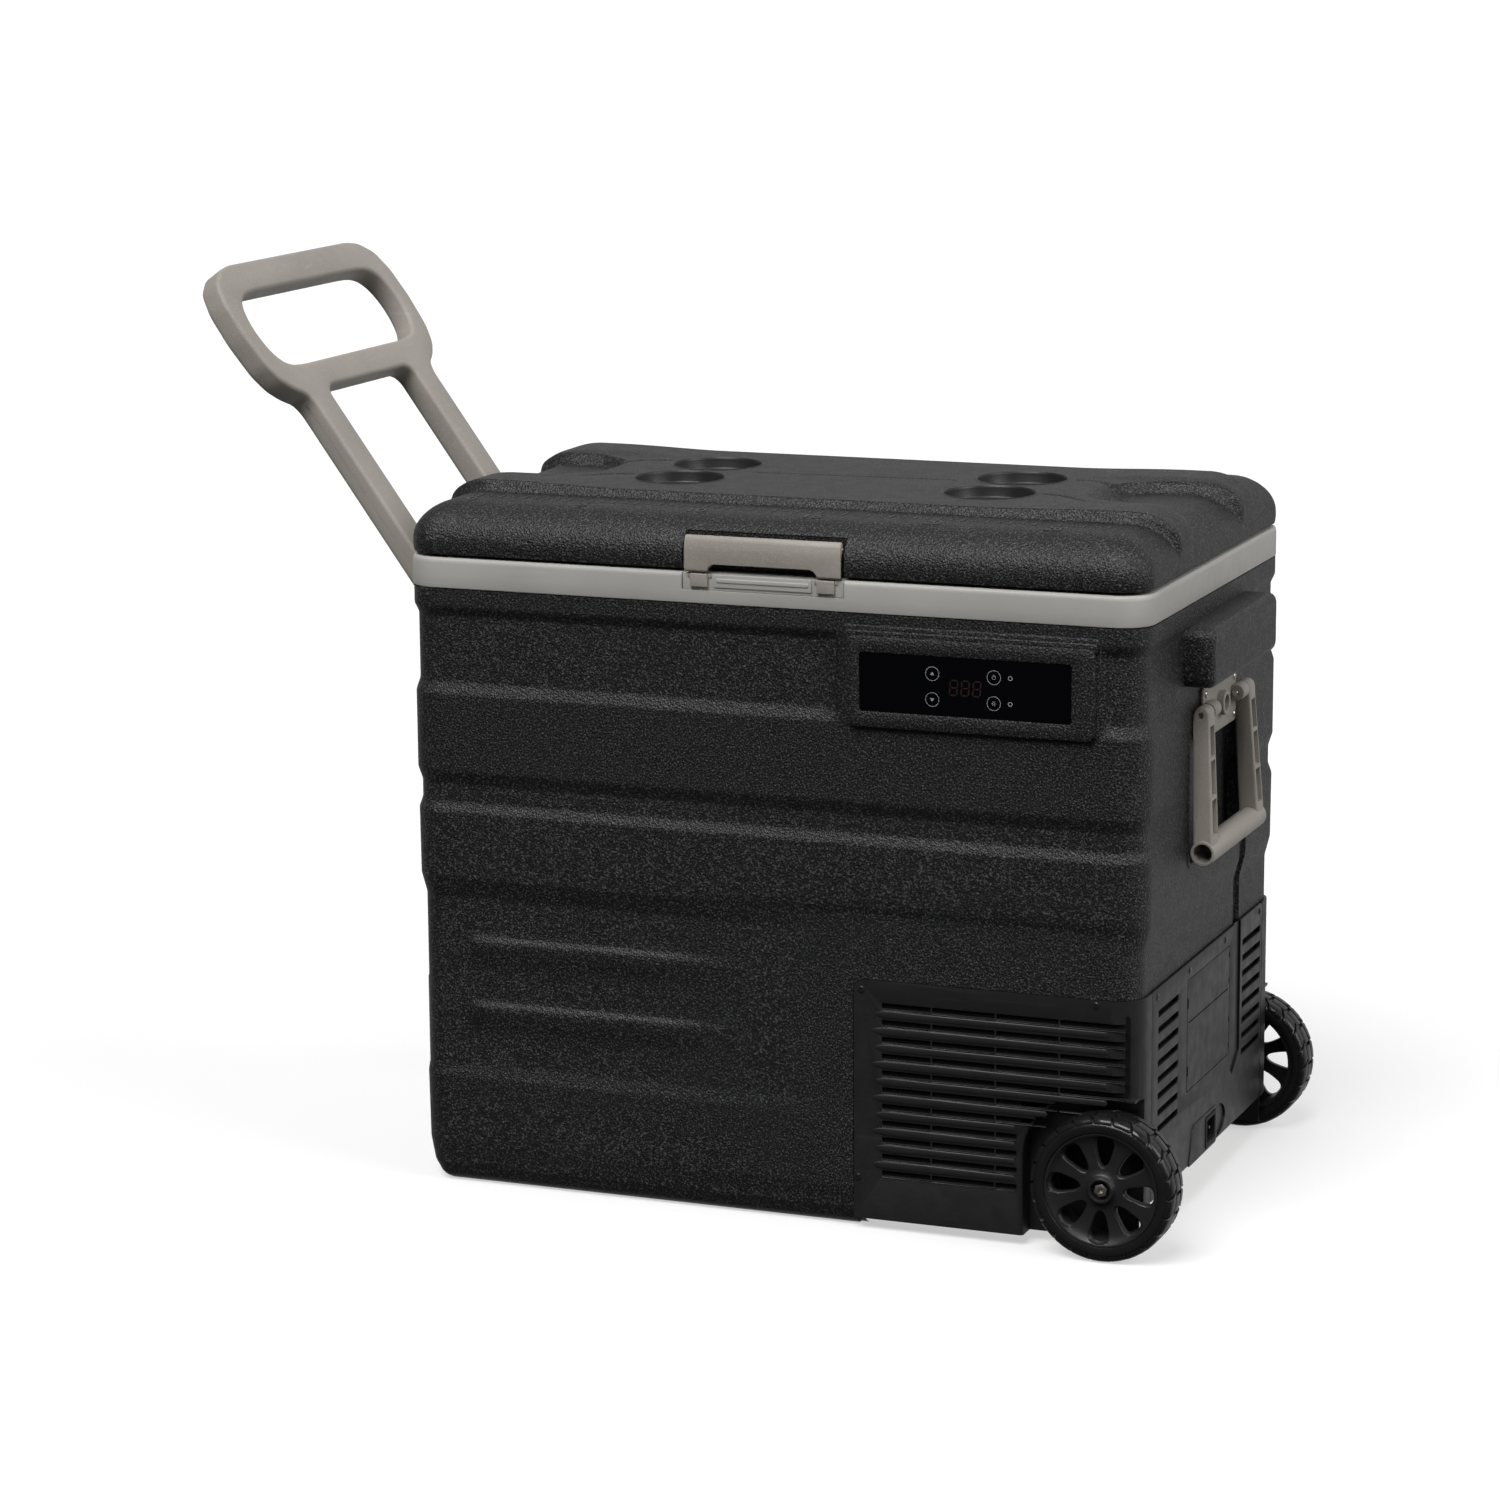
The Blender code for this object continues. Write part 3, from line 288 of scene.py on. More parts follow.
def box(lo, hi):
    return loft([[(x, y, z) for x, y in ((lo[0], lo[1]), (hi[0], lo[1]), (hi[0], hi[1]), (lo[0], hi[1]))]
        for z in (lo[2], hi[2])])


def tow_place(s, y, n):
    """A point of the raised tow handle: s along its arms, y across, n towards its upper face."""
    c, w = math.cos(TOW_TILT), math.sin(TOW_TILT)
    return (TOW_X - c * s + w * n, y, TOW_Z + w * s + c * n)


# How a point (u, v) of an outline and the distance t across it become x, y, z.
PUT = {"x": lambda u, v, t: (t, u, v), "y": lambda u, v, t: (u, t, v), "z": lambda u, v, t: (u, v, t),
    "tow": tow_place}


def quarter(n):
    """Angles over a quarter turn, in n steps."""
    return [math.pi / 2 * k / n for k in range(n + 1)]


def circle(cu, cv, r, n=32, start=0.0):
    return [(cu + r * math.cos(start + 2 * math.pi * i / n), cv + r * math.sin(start + 2 * math.pi * i / n))
        for i in range(n)]


def rounded(u0, u1, v0, v1, r, n=5):
    """Rectangle with rounded corners, counter-clockwise."""
    return corners([(u0, v0), (u1, v0), (u1, v1), (u0, v1)], 0.0, r, n)


def corners(points, grow, radius, n=6):
    """Right-angled counter-clockwise outline, grown outwards, with every corner rounded."""
    out = []
    for i, (u, v) in enumerate(points):
        before, after = points[i - 1], points[(i + 1) % len(points)]
        d0 = (Vector((u, v)) - Vector(before)).normalized()
        d1 = (Vector(after) - Vector((u, v))).normalized()
        turn = 1 if d0.x * d1.y - d0.y * d1.x > 0 else -1
        side = Vector((d0.y, -d0.x))
        r = max(radius + turn * grow, 0.0008)
        start = Vector((u, v)) + (side + Vector((d1.y, -d1.x))) * grow - d0 * r
        centre = start - side * (r * turn)
        first = math.atan2(start.y - centre.y, start.x - centre.x)
        for k in range(n + 1):
            a = first + turn * math.pi / 2 * k / n
            out.append((centre.x + r * math.cos(a), centre.y + r * math.sin(a)))
    return out


def soften(points, limit, rounds=2):
    """Closed outline with its corners cut back again and again, never by more than the limit."""
    for _ in range(rounds):
        out = []
        for i, p in enumerate(points):
            q = points[(i + 1) % len(points)]
            f = min(0.25, limit / max(math.dist(p, q), 1e-6))
            out += [(p[0] + (q[0] - p[0]) * f, p[1] + (q[1] - p[1]) * f),
                (q[0] - (q[0] - p[0]) * f, q[1] - (q[1] - p[1]) * f)]
        points, limit = out, limit * 0.5
    return points


def grown(points, distance):
    """Outline moved outwards by a distance."""
    area = sum(a[0] * b[1] - a[1] * b[0] for a, b in zip(points, points[1:] + points[:1]))
    sign = 1 if area > 0 else -1
    out = []
    for i, p in enumerate(points):
        d0 = (Vector(p) - Vector(points[i - 1])).normalized()
        d1 = (Vector(points[(i + 1) % len(points)]) - Vector(p)).normalized()
        side = Vector((d0.y + d1.y, -d0.x - d1.x)) * sign
        stretch = distance / max(side.length_squared / 2, 0.7)
        out.append((p[0] + side.x * stretch, p[1] + side.y * stretch))
    return out


def swept(outline, axis, steps):
    """Solid through the outline grown by each step's offset, at that step's distance."""
    return loft([[PUT[axis](u, v, t) for u, v in grown(outline, offset)] for offset, t in steps])


def slab(outline, axis, *distances, caps=(True, True)):
    """Solid through the same outline at each distance."""
    return loft([[PUT[axis](u, v, t) for u, v in outline] for t in distances], caps=caps)


def eased(outline, axis, low, high, edge, steps=3):
    """Prism with rounded end edges."""
    ends = [(-edge * (1 - math.sin(a)), edge * (1 - math.cos(a))) for a in quarter(steps)]
    return swept(outline, axis, [(o, low + d) for o, d in ends] + [(o, high - d) for o, d in reversed(ends)])


def flared(outline, axis, low, high, edge, steps=3, both=False):
    """Cutter that opens out at the outer face, high, or at both, so the hole gets rounded edges."""
    ends = [(edge * (1 - math.sin(a)), edge * (1 - math.cos(a))) for a in quarter(steps)]
    sign = 1 if high > low else -1
    tail = [(edge, low - sign * 0.002)] + [(o, low + sign * d) for o, d in ends] if both else [(0.0, low)]
    tail += [(o, high - sign * d) for o, d in reversed(ends)]
    return swept(outline, axis, tail + [(edge, high + sign * 0.004)])


def turned(profile, axis, cu, cv, n=48, closed=True, caps=(True, True)):
    """Surface of revolution of a (radius, distance) profile, closed on itself or by caps."""
    rings = [[PUT[axis](u, v, t) for u, v in circle(cu, cv, r, n)] for r, t in profile]
    return loft(rings, around=closed, caps=caps)


def ease(edge0, edge1, value):
    t = np.clip((np.asarray(value, float) - edge0) / (edge1 - edge0), 0.0, 1.0)
    return t * t * (3.0 - 2.0 * t)


def lines(low, high, step, *marks):
    """Grid lines from low to high, about a step apart, with exact ones at the marks."""
    marks = [low, high] + [m for m in marks if low < m < high]
    base = np.linspace(low, high, max(2, round((high - low) / step) + 1))
    free = [b for b in base if min(abs(b - m) for m in marks) > step * 0.35]
    return sorted(set(round(float(v), 6) for v in list(free) + marks))


# ---------------------------------------------------------------- cabinet skin
# Height, inset at the ends and inset at the faces: rounded foot, base, and the horizontal ribs.
SHELL_LEVELS = np.array([(0.0, 0.034, 0.024), (0.003, 0.026, 0.016), (0.008, 0.019, 0.011),
    (0.02, 0.01, 0.007), (0.045, 0.005, 0.005), (0.1175, 0.004, 0.004), (0.132, 0.0065, 0.0065),
    (0.313, 0.0065, 0.0065), (0.3347, 0.001, 0.001), (0.4052, 0.0005, 0.0005), (0.416, 0.0045, 0.0045),
    (0.4354, 0.0045, 0.0045), (0.449, 0.0, 0.0), (0.531, 0.0, 0.0), (0.5437, 0.0045, 0.0045),
    (0.614, 0.0045, 0.0045), (0.6235, 0.0, 0.0), (0.6425, 0.0, 0.0)])
TOW_POCKET = [(-0.209, 0.036), (0.209, 0.036), (0.209, 0.215), (0.153, 0.215), (0.153, 0.612),
    (-0.153, 0.612), (-0.153, 0.215), (-0.209, 0.215)]
CARRY_RECESS = [(-0.095, 0.373), (0.095, 0.373), (0.095, 0.499), (-0.095, 0.499)]


def rib(z, column):
    shifts = (-0.0015, -0.0008, 0.0, 0.0008, 0.0015)
    return np.mean([np.interp(z + s, SHELL_LEVELS[:, 0], SHELL_LEVELS[:, column]) for s in shifts], axis=0)


def front_inset(x, z):
    """The lower part runs out to the right, two short ribs stand on it, the bezel sits on a flat patch."""
    inset = rib(z, 2)
    lower = ease(0.03, 0.045, z) * ease(0.345, 0.33, z)
    inset = inset + (0.0035 - inset) * ease(-0.15, 0.12, x) * lower
    for low, high in ((0.2425, 0.2745), (0.172, 0.204)):
        shape = ease(low - 0.006, low + 0.02, z) * ease(high, high - 0.008, z)
        inset = inset - 0.0032 * shape * ease(-0.3375, -0.331, x) * ease(-0.03, -0.12, x)
    patch = ease(0.076, 0.083, x) * ease(0.362, 0.3555, x) * ease(0.523, 0.531, z)
    return inset * (1 - patch)


def right_inset(y, z):
    """The ribs run out towards the carry handle, and a groove goes down on the far side of it."""
    inset = rib(z, 1) * (1 - ease(0.2, 0.13, abs(y)) * ease(0.33, 0.345, z))
    return inset + 0.0045 * ease(0.0985, 0.101, y) * ease(0.1228, 0.1203, y) * ease(0.3725, 0.37, z)


def left_inset(y, z):
    """A flat frame goes round the tow handle's pocket."""
    upper, lower = ease(0.2, 0.168, abs(y)), ease(0.2218, 0.2165, abs(y))
    zone = lower + (upper - lower) * ease(0.215, 0.23, z)
    return rib(z, 1) * (1 - zone * ease(0.03, 0.055, z))


def back_inset(x, z):
    return rib(z, 2)


def cabinet_skin():
    flat_x, flat_y = HALF_X - CORNER, HALF_Y - CORNER
    xs = lines(-flat_x, flat_x, 0.014, BAY_X, 0.076, 0.0795, 0.083, 0.3555, 0.359, 0.362, -0.3375, -0.334,
        -0.331, -0.12, -0.03)
    ys = {1: lines(-flat_y, flat_y, 0.014, -0.095, 0.095, 0.0985, 0.101, 0.1203, 0.1228),
        -1: lines(-flat_y, flat_y, 0.012, -0.209, 0.209, -0.153, 0.153, -0.2165, 0.2165, -0.168, 0.168, -0.2,
        0.2)}
    marks = [z + d for z in SHELL_LEVELS[:, 0] for d in (-0.003, -0.0015, 0.0, 0.0015, 0.003)]
    marks += [BAY_Z, 0.036, 0.215, 0.612, 0.373, 0.499, 0.3725, 0.37, 0.23, 0.03, 0.055]
    marks += [low + d for low in (0.2425, 0.172) for d in (0.0, 0.0015, 0.003, 0.023, 0.0255, 0.028, 0.0305,
        0.032)]
    zs = np.array(lines(0.0, 0.6425, 0.01, *marks))
    columns = []

    def straight(values, function, point, normal):
        for t in values:
            columns.append((function(t, zs), point(t), normal))

    def corner(cx, cy, start, first, second):
        for k in range(1, 12):
            a = start + math.pi / 2 * k / 12
            share = math.sin(math.pi / 2 * k / 12) ** 2
            centre = (cx + CORNER * math.cos(a), cy + CORNER * math.sin(a))
            columns.append((first + (second - first) * share, centre, (math.cos(a), math.sin(a))))

    straight(xs, front_inset, lambda t: (t, -HALF_Y), (0, -1))
    corner(flat_x, -flat_y, -math.pi / 2, front_inset(flat_x, zs), right_inset(-flat_y, zs))
    straight(ys[1], right_inset, lambda t: (HALF_X, t), (1, 0))
    corner(flat_x, flat_y, 0.0, right_inset(flat_y, zs), back_inset(flat_x, zs))
    straight(xs[::-1], back_inset, lambda t: (t, HALF_Y), (0, 1))
    corner(-flat_x, flat_y, math.pi / 2, back_inset(-flat_x, zs), left_inset(flat_y, zs))
    straight(ys[-1][::-1], left_inset, lambda t: (-HALF_X, t), (-1, 0))
    corner(-flat_x, -flat_y, math.pi, left_inset(-flat_y, zs), front_inset(-flat_x, zs))

    rows, count = len(zs), len(columns)
    verts, normals = [], []
    for insets, (px, py), (nx, ny) in columns:
        verts += [(px - nx * i, py - ny * i, z) for i, z in zip(insets, zs)]
        normals += [(nx, ny)] * rows
    faces = []
    for c in range(count):
        (ax, ay), (bx, by) = columns[c][1], columns[(c + 1) % count][1]
        mx, my = (ax + bx) / 2, (ay + by) / 2
        for r in range(rows - 1):
            mz = (zs[r] + zs[r + 1]) / 2
            pocket = mx < -HALF_X + 0.001 and ((abs(my) < 0.153 and 0.215 < mz < 0.612)
                or (abs(my) < 0.209 and 0.036 < mz < 0.215))
            recess = mx > HALF_X - 0.001 and abs(my) < 0.095 and 0.373 < mz < 0.499
            if (mx > BAY_X and mz < BAY_Z) or pocket or recess:
                continue
            a, b = c * rows + r, ((c + 1) % count) * rows + r
            faces.append((a, b, b + 1, a + 1))
    seen = {}
    for face in faces:
        for a, b in zip(face, face[1:] + face[:1]):
            seen[frozenset((a, b))] = (a, b) if frozenset((a, b)) not in seen else None
    inner = {}

    def inside(index, depth, move=(0.0, 0.0)):
        key = (index, move)
        if key not in inner:
            (x, y, z), (nx, ny) = verts[index], normals[index]
            inner[key] = len(verts)
            verts.append((x - nx * depth + move[0], y - ny * depth, z + move[1]))
        return inner[key]

    top = zs[-1] - 1e-6
    for a, b in [e for e in seen.values() if e]:
        bay = all(verts[i][0] > BAY_X - 1e-6 and verts[i][2] < BAY_Z + 1e-6 for i in (a, b))
        high = all(verts[i][2] > top for i in (a, b))
        if bay or high:
            depth = 0.012 if high else 0.0045
            faces.append((b, a, inside(a, depth), inside(b, depth)))
        if bay:
            # A strip behind the vent covers closes the view through the seam.
            move = (0.0, -0.009) if abs(verts[a][2] - verts[b][2]) < 1e-6 else (0.009, 0.0)
            faces.append((inside(b, depth), inside(a, depth), inside(a, depth, move), inside(b, depth, move)))
    return verts, faces


make("cabinet_skin", cabinet_skin(), "shell", replaced=["outer_shell"], sharp=50, recalc=False)


def pocket_tray(outline, side, deep, wall, lip, proud, radius):
    """Moulded pocket in an end wall: raised rounded lip, then walls down to the bottom."""
    steps = [(lip, -0.0012), (lip, proud * 0.5), (lip - 0.001, proud), (0.0015, proud), (0.0004, proud * 0.6),
        (0.0, -0.001)]
    rings = []
    for grow, rise in steps:
        ring = corners(outline, grow, radius, 7)
        rings.append([(side * (HALF_X - float(wall(y, z)) + rise), y, z) for y, z in ring])
    for grow, x in ((-0.0006, deep + side * 0.003), (-0.0016, deep + side * 0.0006), (-0.004, deep)):
        rings.append([(x, y, z) for y, z in corners(outline, grow, radius, 7)])
    return loft(rings, caps=(False, True))


make("tow_pocket", pocket_tray(TOW_POCKET, -1, -0.356, left_inset, 0.0062, 0.0008, 0.008), "shell", sharp=40)
make("carry_recess", pocket_tray(CARRY_RECESS, 1, 0.3885, right_inset, 0.0062, 0.0009, 0.008), "shell",
    sharp=40)
floor_outline = [(-0.352, -0.236), (BAY_X, -0.236), (BAY_X, 0.236), (-0.352, 0.236)]
make("base_plate", eased(corners(floor_outline, 0.0, 0.014), "z", 0.0004, 0.012, 0.003), "shell")

# Hood over the carry handle, with well rounded edges.
hood_outline = rounded(-0.1225, 0.1225, 0.561, 0.623, 0.012, 6)
hood_steps = [(0.0, HALF_X - 0.006), (0.0, HALF_X + 0.0235)]
hood_steps += [(-0.008 * (1 - math.cos(a)), HALF_X + 0.0235 + 0.008 * math.sin(a)) for a in quarter(6)[1:]]
make("carry_hood", swept(hood_outline, "x", hood_steps), "shell")

# Bezel pad with a double ledge on top and a window rebate.
w0, w1, w2, w3 = WINDOW
front_y = -HALF_Y
pad = [rounded(0.091 - g, 0.352 + g, 0.5285 - g, 0.6215 + g, 0.009 + g, 6)
    for g in (0.0, 0.0, -0.0006, -0.0022)]
pad += [rounded(w0 - g, w1 + g, w2 - g, w3 + g, 0.003 + g, 6) for g in (0.0014, 0.0004, 0.0, 0.0)]
depths = [front_y - d for d in (-0.003, 0.0045, 0.0056, 0.0062, 0.0062, 0.0058, 0.005, 0.0005)]
make("bezel_pad", loft([[(x, y, z) for x, z in ring] for ring, y in zip(pad, depths)], caps=(False, False)),
    "shell")
ledge = merged(eased(rounded(0.089, 0.354, 0.616, 0.6268, 0.004, 4), "y", front_y - 0.0042, front_y + 0.002,
    0.0014), eased(rounded(0.0865, 0.356, 0.62, 0.6318, 0.004, 4), "y", front_y - 0.0024, front_y + 0.002,
    0.0014))
make("bezel_ledges", ledge, "shell")


# ---------------------------------------------------------------- trim band
def band_ring(inset, z, keeper_depth=0.0):
    """Ring of the band with extra points either side of the keeper recess in the front."""
    flat_x, flat_y, r = HALF_X - CORNER, HALF_Y - CORNER, CORNER - inset
    front = [-0.088, -0.0875, 0.0, 0.0875, 0.088]
    points = [(x, -HALF_Y + inset + (keeper_depth if abs(x) < 0.0878 else 0.0)) for x in front]
    for cx, cy, start in ((flat_x, -flat_y, -0.5), (flat_x, flat_y, 0.0), (-flat_x, flat_y, 0.5),
            (-flat_x, -flat_y, 1.0)):
        for k in range(17):
            a = math.pi * (start + 0.5 * k / 16)
            points.append((cx + r * math.cos(a), cy + r * math.sin(a)))
    return [(x, y, z) for x, y in points]


def opening_ring(z):
    front = [(x, -LINER_Y) for x in (-0.088, -0.0875, 0.0, 0.0875, 0.088)]
    points = rounded(-LINER_X, LINER_X, -LINER_Y, LINER_Y, 0.02, 16)
    corner = 17                # the outline starts with one corner's points, which come last here
    return [(x, y, z) for x, y in front + points[corner:] + points[:corner]]


BAND_STEPS = [(0.01, 0.6431, 0), (0.001, 0.6431, 0), (-0.0002, 0.6437, 0), (-0.0006, 0.645, 0),
    (-0.0006, 0.6568, 0), (-0.0006, 0.6572, 1), (-0.0006, 0.6695, 1), (-0.0002, 0.6722, 1),
    (0.001, 0.6741, 1), (0.003, 0.675, 1)]
rings = [band_ring(inset, z, 0.0032 * keeper) for inset, z, keeper in BAND_STEPS]
rings += [opening_ring(0.675), opening_ring(0.6431)]
make("band", loft(rings, around=True), "band", replaced=["trim_band"], sharp=40)

# Keeper set into the band: plate, two slotted pads and a rounded bar between them.
keeper_y = -HALF_Y
keeper = merged(
    eased(rounded(-0.087, 0.087, 0.6574, 0.674, 0.001, 2), "y", keeper_y + 0.0006, keeper_y + 0.003, 0.0004),
    eased(rounded(-0.053, 0.053, 0.6604, 0.6738, 0.0012, 3), "y", keeper_y - 0.0006, keeper_y + 0.0015,
        0.0006),
    eased(rounded(-0.05, 0.05, 0.6655, 0.67, 0.002, 3), "y", keeper_y - 0.0014, keeper_y + 0.001, 0.0008))
make("latch_keeper_plate", keeper, "band", replaced=["latch_keeper"])
pads = [eased(rounded(s * 0.0685 - 0.0095, s * 0.0685 + 0.0095, 0.6606, 0.6742, 0.0014, 3), "y",
    keeper_y - 0.003, keeper_y + 0.0012, 0.0008) for s in (-1, 1)]
stems = [box((s * 0.0685 + d - 0.0016, keeper_y - 0.0006, 0.672 - 0.0016),
    (s * 0.0685 + d + 0.0016, keeper_y + 0.0012, 0.672 + 0.0016)) for s in (-1, 1) for d in (-0.0112, 0.0112)]
make("latch_keeper_pads", merged(*pads, *stems), "taupe")


# ---------------------------------------------------------------- lid skin
# Inset from the lid's outline and height, from the top edge of the roll down to the rim.
ROLL = np.array([(0.05, 0.731), (0.04, 0.7303), (0.029, 0.7275), (0.018, 0.7215), (0.0095, 0.714),
    (0.004, 0.7065), (0.0008, 0.698), (0.0, 0.69), (0.0002, 0.683), (0.0015, 0.6775)])
CORE_X, CORE_Y = HALF_X - 0.05, HALF_Y - 0.05
arc = np.concatenate([[0.0], np.cumsum(np.hypot(*np.diff(ROLL, axis=0).T))])
TIP = float(np.interp(-0.6935, -ROLL[:, 1], arc))     # roll length at which the ridges die out
SQUARE = 0.68                                         # how round the roll's corners are


def roll_at(length):
    """Distance out from the core rectangle and height, at a length down the roll."""
    soft = [np.clip(length + s, 0.0, arc[-1]) for s in (-0.003, -0.0015, 0.0, 0.0015, 0.003)]
    inset = np.mean([np.interp(s, arc, ROLL[:, 0]) for s in soft], axis=0)
    height = np.mean([np.interp(s, arc, ROLL[:, 1]) for s in soft], axis=0)
    return 0.05 - inset, height


S_GROOVES = [[(0.2249, -0.045), (0.239, -0.0475), (0.2552, -0.0548), (0.276, -0.074), (0.296, -0.0918),
    (0.311, -0.0968), (0.329, -0.0985)], [(0.2248, 0.0607), (0.24, 0.061), (0.258, 0.057), (0.28, 0.03),
    (0.2997, 0.0035), (0.315, -0.006), (0.33, -0.01)]]


def groove_depth(x, y):
    """Shallow S-shaped grooves from the cups' outer sides, the same at both ends."""
    total = np.zeros_like(x)
    for path in S_GROOVES:
        path = np.array(path)
        lengths = np.concatenate([[0.0], np.cumsum(np.hypot(*np.diff(path, axis=0).T))])
        t = np.linspace(0, 1, 60)
        px = np.interp(t * lengths[-1], lengths, path[:, 0])
        py = np.interp(t * lengths[-1], lengths, path[:, 1])
        kernel = np.ones(7) / 7
        px[3:-3], py[3:-3] = np.convolve(px, kernel, "valid"), np.convolve(py, kernel, "valid")
        distance = np.hypot(np.abs(x)[..., None] - px, y[..., None] - py)
        nearest = distance.argmin(-1)
        strength = ease(0.0, 0.06, t[nearest]) * ease(1.0, 0.72, t[nearest])
        total = np.maximum(total, strength * np.exp(-(distance.min(-1) / 0.0021) ** 2))
    return 0.0019 * total


def lid_relief(sx, sy):
    """Height of the raised middle over the plain lid, with dips at the ends and ridges out over the roll."""
    ax, ay = np.abs(sx), np.abs(sy)
    over = np.clip((ax - CORE_X) / TIP, 0.0, 1.0)
    outer = 0.158 - 0.018 * over
    inner = np.interp(ax, [0.27, 0.29, 0.315, CORE_X, CORE_X + TIP], [0.04, 0.06, 0.0765, 0.08, 0.098])
    side = ease(0.0, 0.0085, outer - ay)
    ridge = 0.009 + 0.003 * ease(0.2, 0.33, ax) * ease(0.07, 0.1, ay)
    dip = ease(0.266, 0.292, ax) * ease(0.0, 0.011, inner - ay)
    relief = side * (ridge * (1 - dip) - 0.0025 * dip)
    label = np.abs(sy - 0.0125 - 0.06 * sx)
    relief = relief - 0.0007 * ease(0.003, 0.0012, label) * ease(0.118, 0.108, ax) * (ax < 0.13)
    return (relief - groove_depth(sx, sy) * (ax < 0.34)) * (1 - ease(0.55, 1.0, over)) * (over < 1.0)


def lid_skin():
    fine_x = [s * v for s in (-1, 1) for v in np.arange(0.218, 0.3345, 0.0019)]
    core_x = lines(-CORE_X, CORE_X, 0.0036, *fine_x, -0.0875, -0.0868, 0.0868, 0.0875)
    core_x = [core_x[0]] + [b for a, b in zip(core_x, core_x[1:]) if b - a > 0.0006]
    fine_y = list(np.arange(-0.16, -0.1395, 0.0014)) + list(np.arange(-0.108, 0.07, 0.002))
    core_y = lines(-CORE_Y, CORE_Y, 0.004, *fine_y, *np.arange(0.14, 0.1605, 0.0014))
    steps = lines(0.0, float(arc[-1]), 0.0042, float(np.interp(-0.7165, -ROLL[:, 1], arc)),
        float(np.interp(-0.7158, -ROLL[:, 1], arc)))[1:]
    sx = np.array([-CORE_X - s for s in steps[::-1]] + core_x + [CORE_X + s for s in steps])
    sy = np.array([-CORE_Y - s for s in steps[::-1]] + core_y + [CORE_Y + s for s in steps])
    gx, gy = np.meshgrid(sx, sy, indexing="ij")
    ox, oy = np.maximum(np.abs(gx) - CORE_X, 0.0), np.maximum(np.abs(gy) - CORE_Y, 0.0)
    reach, height = roll_at(np.maximum(ox, oy))
    # Round the corners: the two roll lengths say how far along the corner's ring a point lies.
    with np.errstate(divide="ignore", invalid="ignore"):
        part = np.where(ox >= oy, np.where(ox > 0, oy / ox, 0.0), 2.0 - np.where(oy > 0, ox / oy, 0.0))
    straight, bend = 1 - SQUARE, SQUARE * math.pi / 2
    walked = part / 2 * (2 * straight + bend)
    angle = np.clip((walked - straight) / bend, 0.0, 1.0) * math.pi / 2
    ux = np.where(walked < straight, 1.0, np.where(walked > straight + bend, 2 * straight + bend - walked,
        straight + SQUARE * np.cos(angle)))
    uy = np.where(walked < straight, walked,
        np.where(walked > straight + bend, 1.0, straight + SQUARE * np.sin(angle)))
    x = np.where(ox > 0, np.sign(gx) * (CORE_X + reach * np.where(oy > 0, ux, 1.0)), gx)
    y = np.where(oy > 0, np.sign(gy) * (CORE_Y + reach * np.where(ox > 0, uy, 1.0)), gy)
    points = np.stack([x, y, height], -1)
    normal = np.cross(np.gradient(points, axis=0), np.gradient(points, axis=1))
    normal /= np.maximum(np.linalg.norm(normal, axis=-1, keepdims=True), 1e-12)
    points = points + normal * lid_relief(gx, gy)[..., None]
    pocket = (np.abs(gx) < 0.0872) & (gy < 0) & (points[..., 2] < 0.7162)
    points[..., 1] = np.where(pocket, np.maximum(points[..., 1], -0.2425), points[..., 1])
    nx, ny = gx.shape
    flat = points.reshape(-1, 3)
    keep = np.ones((nx - 1, ny - 1), bool)
    mid_x, mid_y = (gx[1:, 1:] + gx[:-1, :-1]) / 2, (gy[1:, 1:] + gy[:-1, :-1]) / 2
    for cx, cy in CUPS:
        keep &= np.hypot(mid_x - cx, mid_y - cy) > 0.0488
    index = np.arange(nx * ny).reshape(nx, ny)
    faces = [(index[i, j], index[i + 1, j], index[i + 1, j + 1], index[i, j + 1])
        for i, j in zip(*np.nonzero(keep))]
    faces = [tuple(int(v) for v in face) for face in faces]
    for cx, cy in CUPS:
        # The holes' jagged edges go on to a circle that the cup rims cover.
        inside = [(i, j) for i, j in zip(*np.nonzero(~keep))
            if math.hypot(mid_x[i, j] - cx, mid_y[i, j] - cy) < 0.05]
        for i, j in inside:
            for k in (index[i, j], index[i + 1, j], index[i + 1, j + 1], index[i, j + 1]):
                dx, dy = flat[k, 0] - cx, flat[k, 1] - cy
                away = math.hypot(dx, dy)
                if away > 0.044:
                    flat[k, 0], flat[k, 1] = cx + dx / away * 0.0486, cy + dy / away * 0.0486
    verts = [tuple(v) for v in flat]
    rim = [index[i, 0] for i in range(nx)] + [index[-1, j] for j in range(1, ny)]
    rim += [index[i, -1] for i in range(nx - 2, -1, -1)] + [index[0, j] for j in range(ny - 2, 0, -1)]
    inner = []
    for k in rim:
        px, py, _ = verts[k]
        inner.append(len(verts))
        verts.append((math.copysign(min(abs(px), HALF_X - 0.0245), px),
            math.copysign(min(abs(py), HALF_Y - 0.0245), py), LID_Z))
    faces += [(int(rim[i]), inner[i], inner[(i + 1) % len(rim)], int(rim[(i + 1) % len(rim)]))
        for i in range(len(rim))]
    used = sorted({v for face in faces for v in face})
    renumber = {old: new for new, old in enumerate(used)}
    return [verts[v] for v in used], [tuple(renumber[v] for v in face) for face in faces]


make("lid_skin", lid_skin(), "lid", "lid", ["lid_shell"], sharp=50, recalc=False)
well_profile = [(0.05, PLATEAU_Z + 0.0001), (0.0492, PLATEAU_Z + 0.0006), (0.0484, PLATEAU_Z + 0.0005),
    (0.0477, PLATEAU_Z - 0.0004), (0.0472, PLATEAU_Z - 0.002), (0.0469, 0.7295), (0.046, 0.7278),
    (0.044, 0.727), (0.025, 0.7268), (0.002, 0.7268)]
make("cup_wells",
    merged(*[turned(well_profile, "z", cx, cy, 64, closed=False, caps=(False, True)) for cx, cy in CUPS]),
    "satin", "lid", sharp=45)


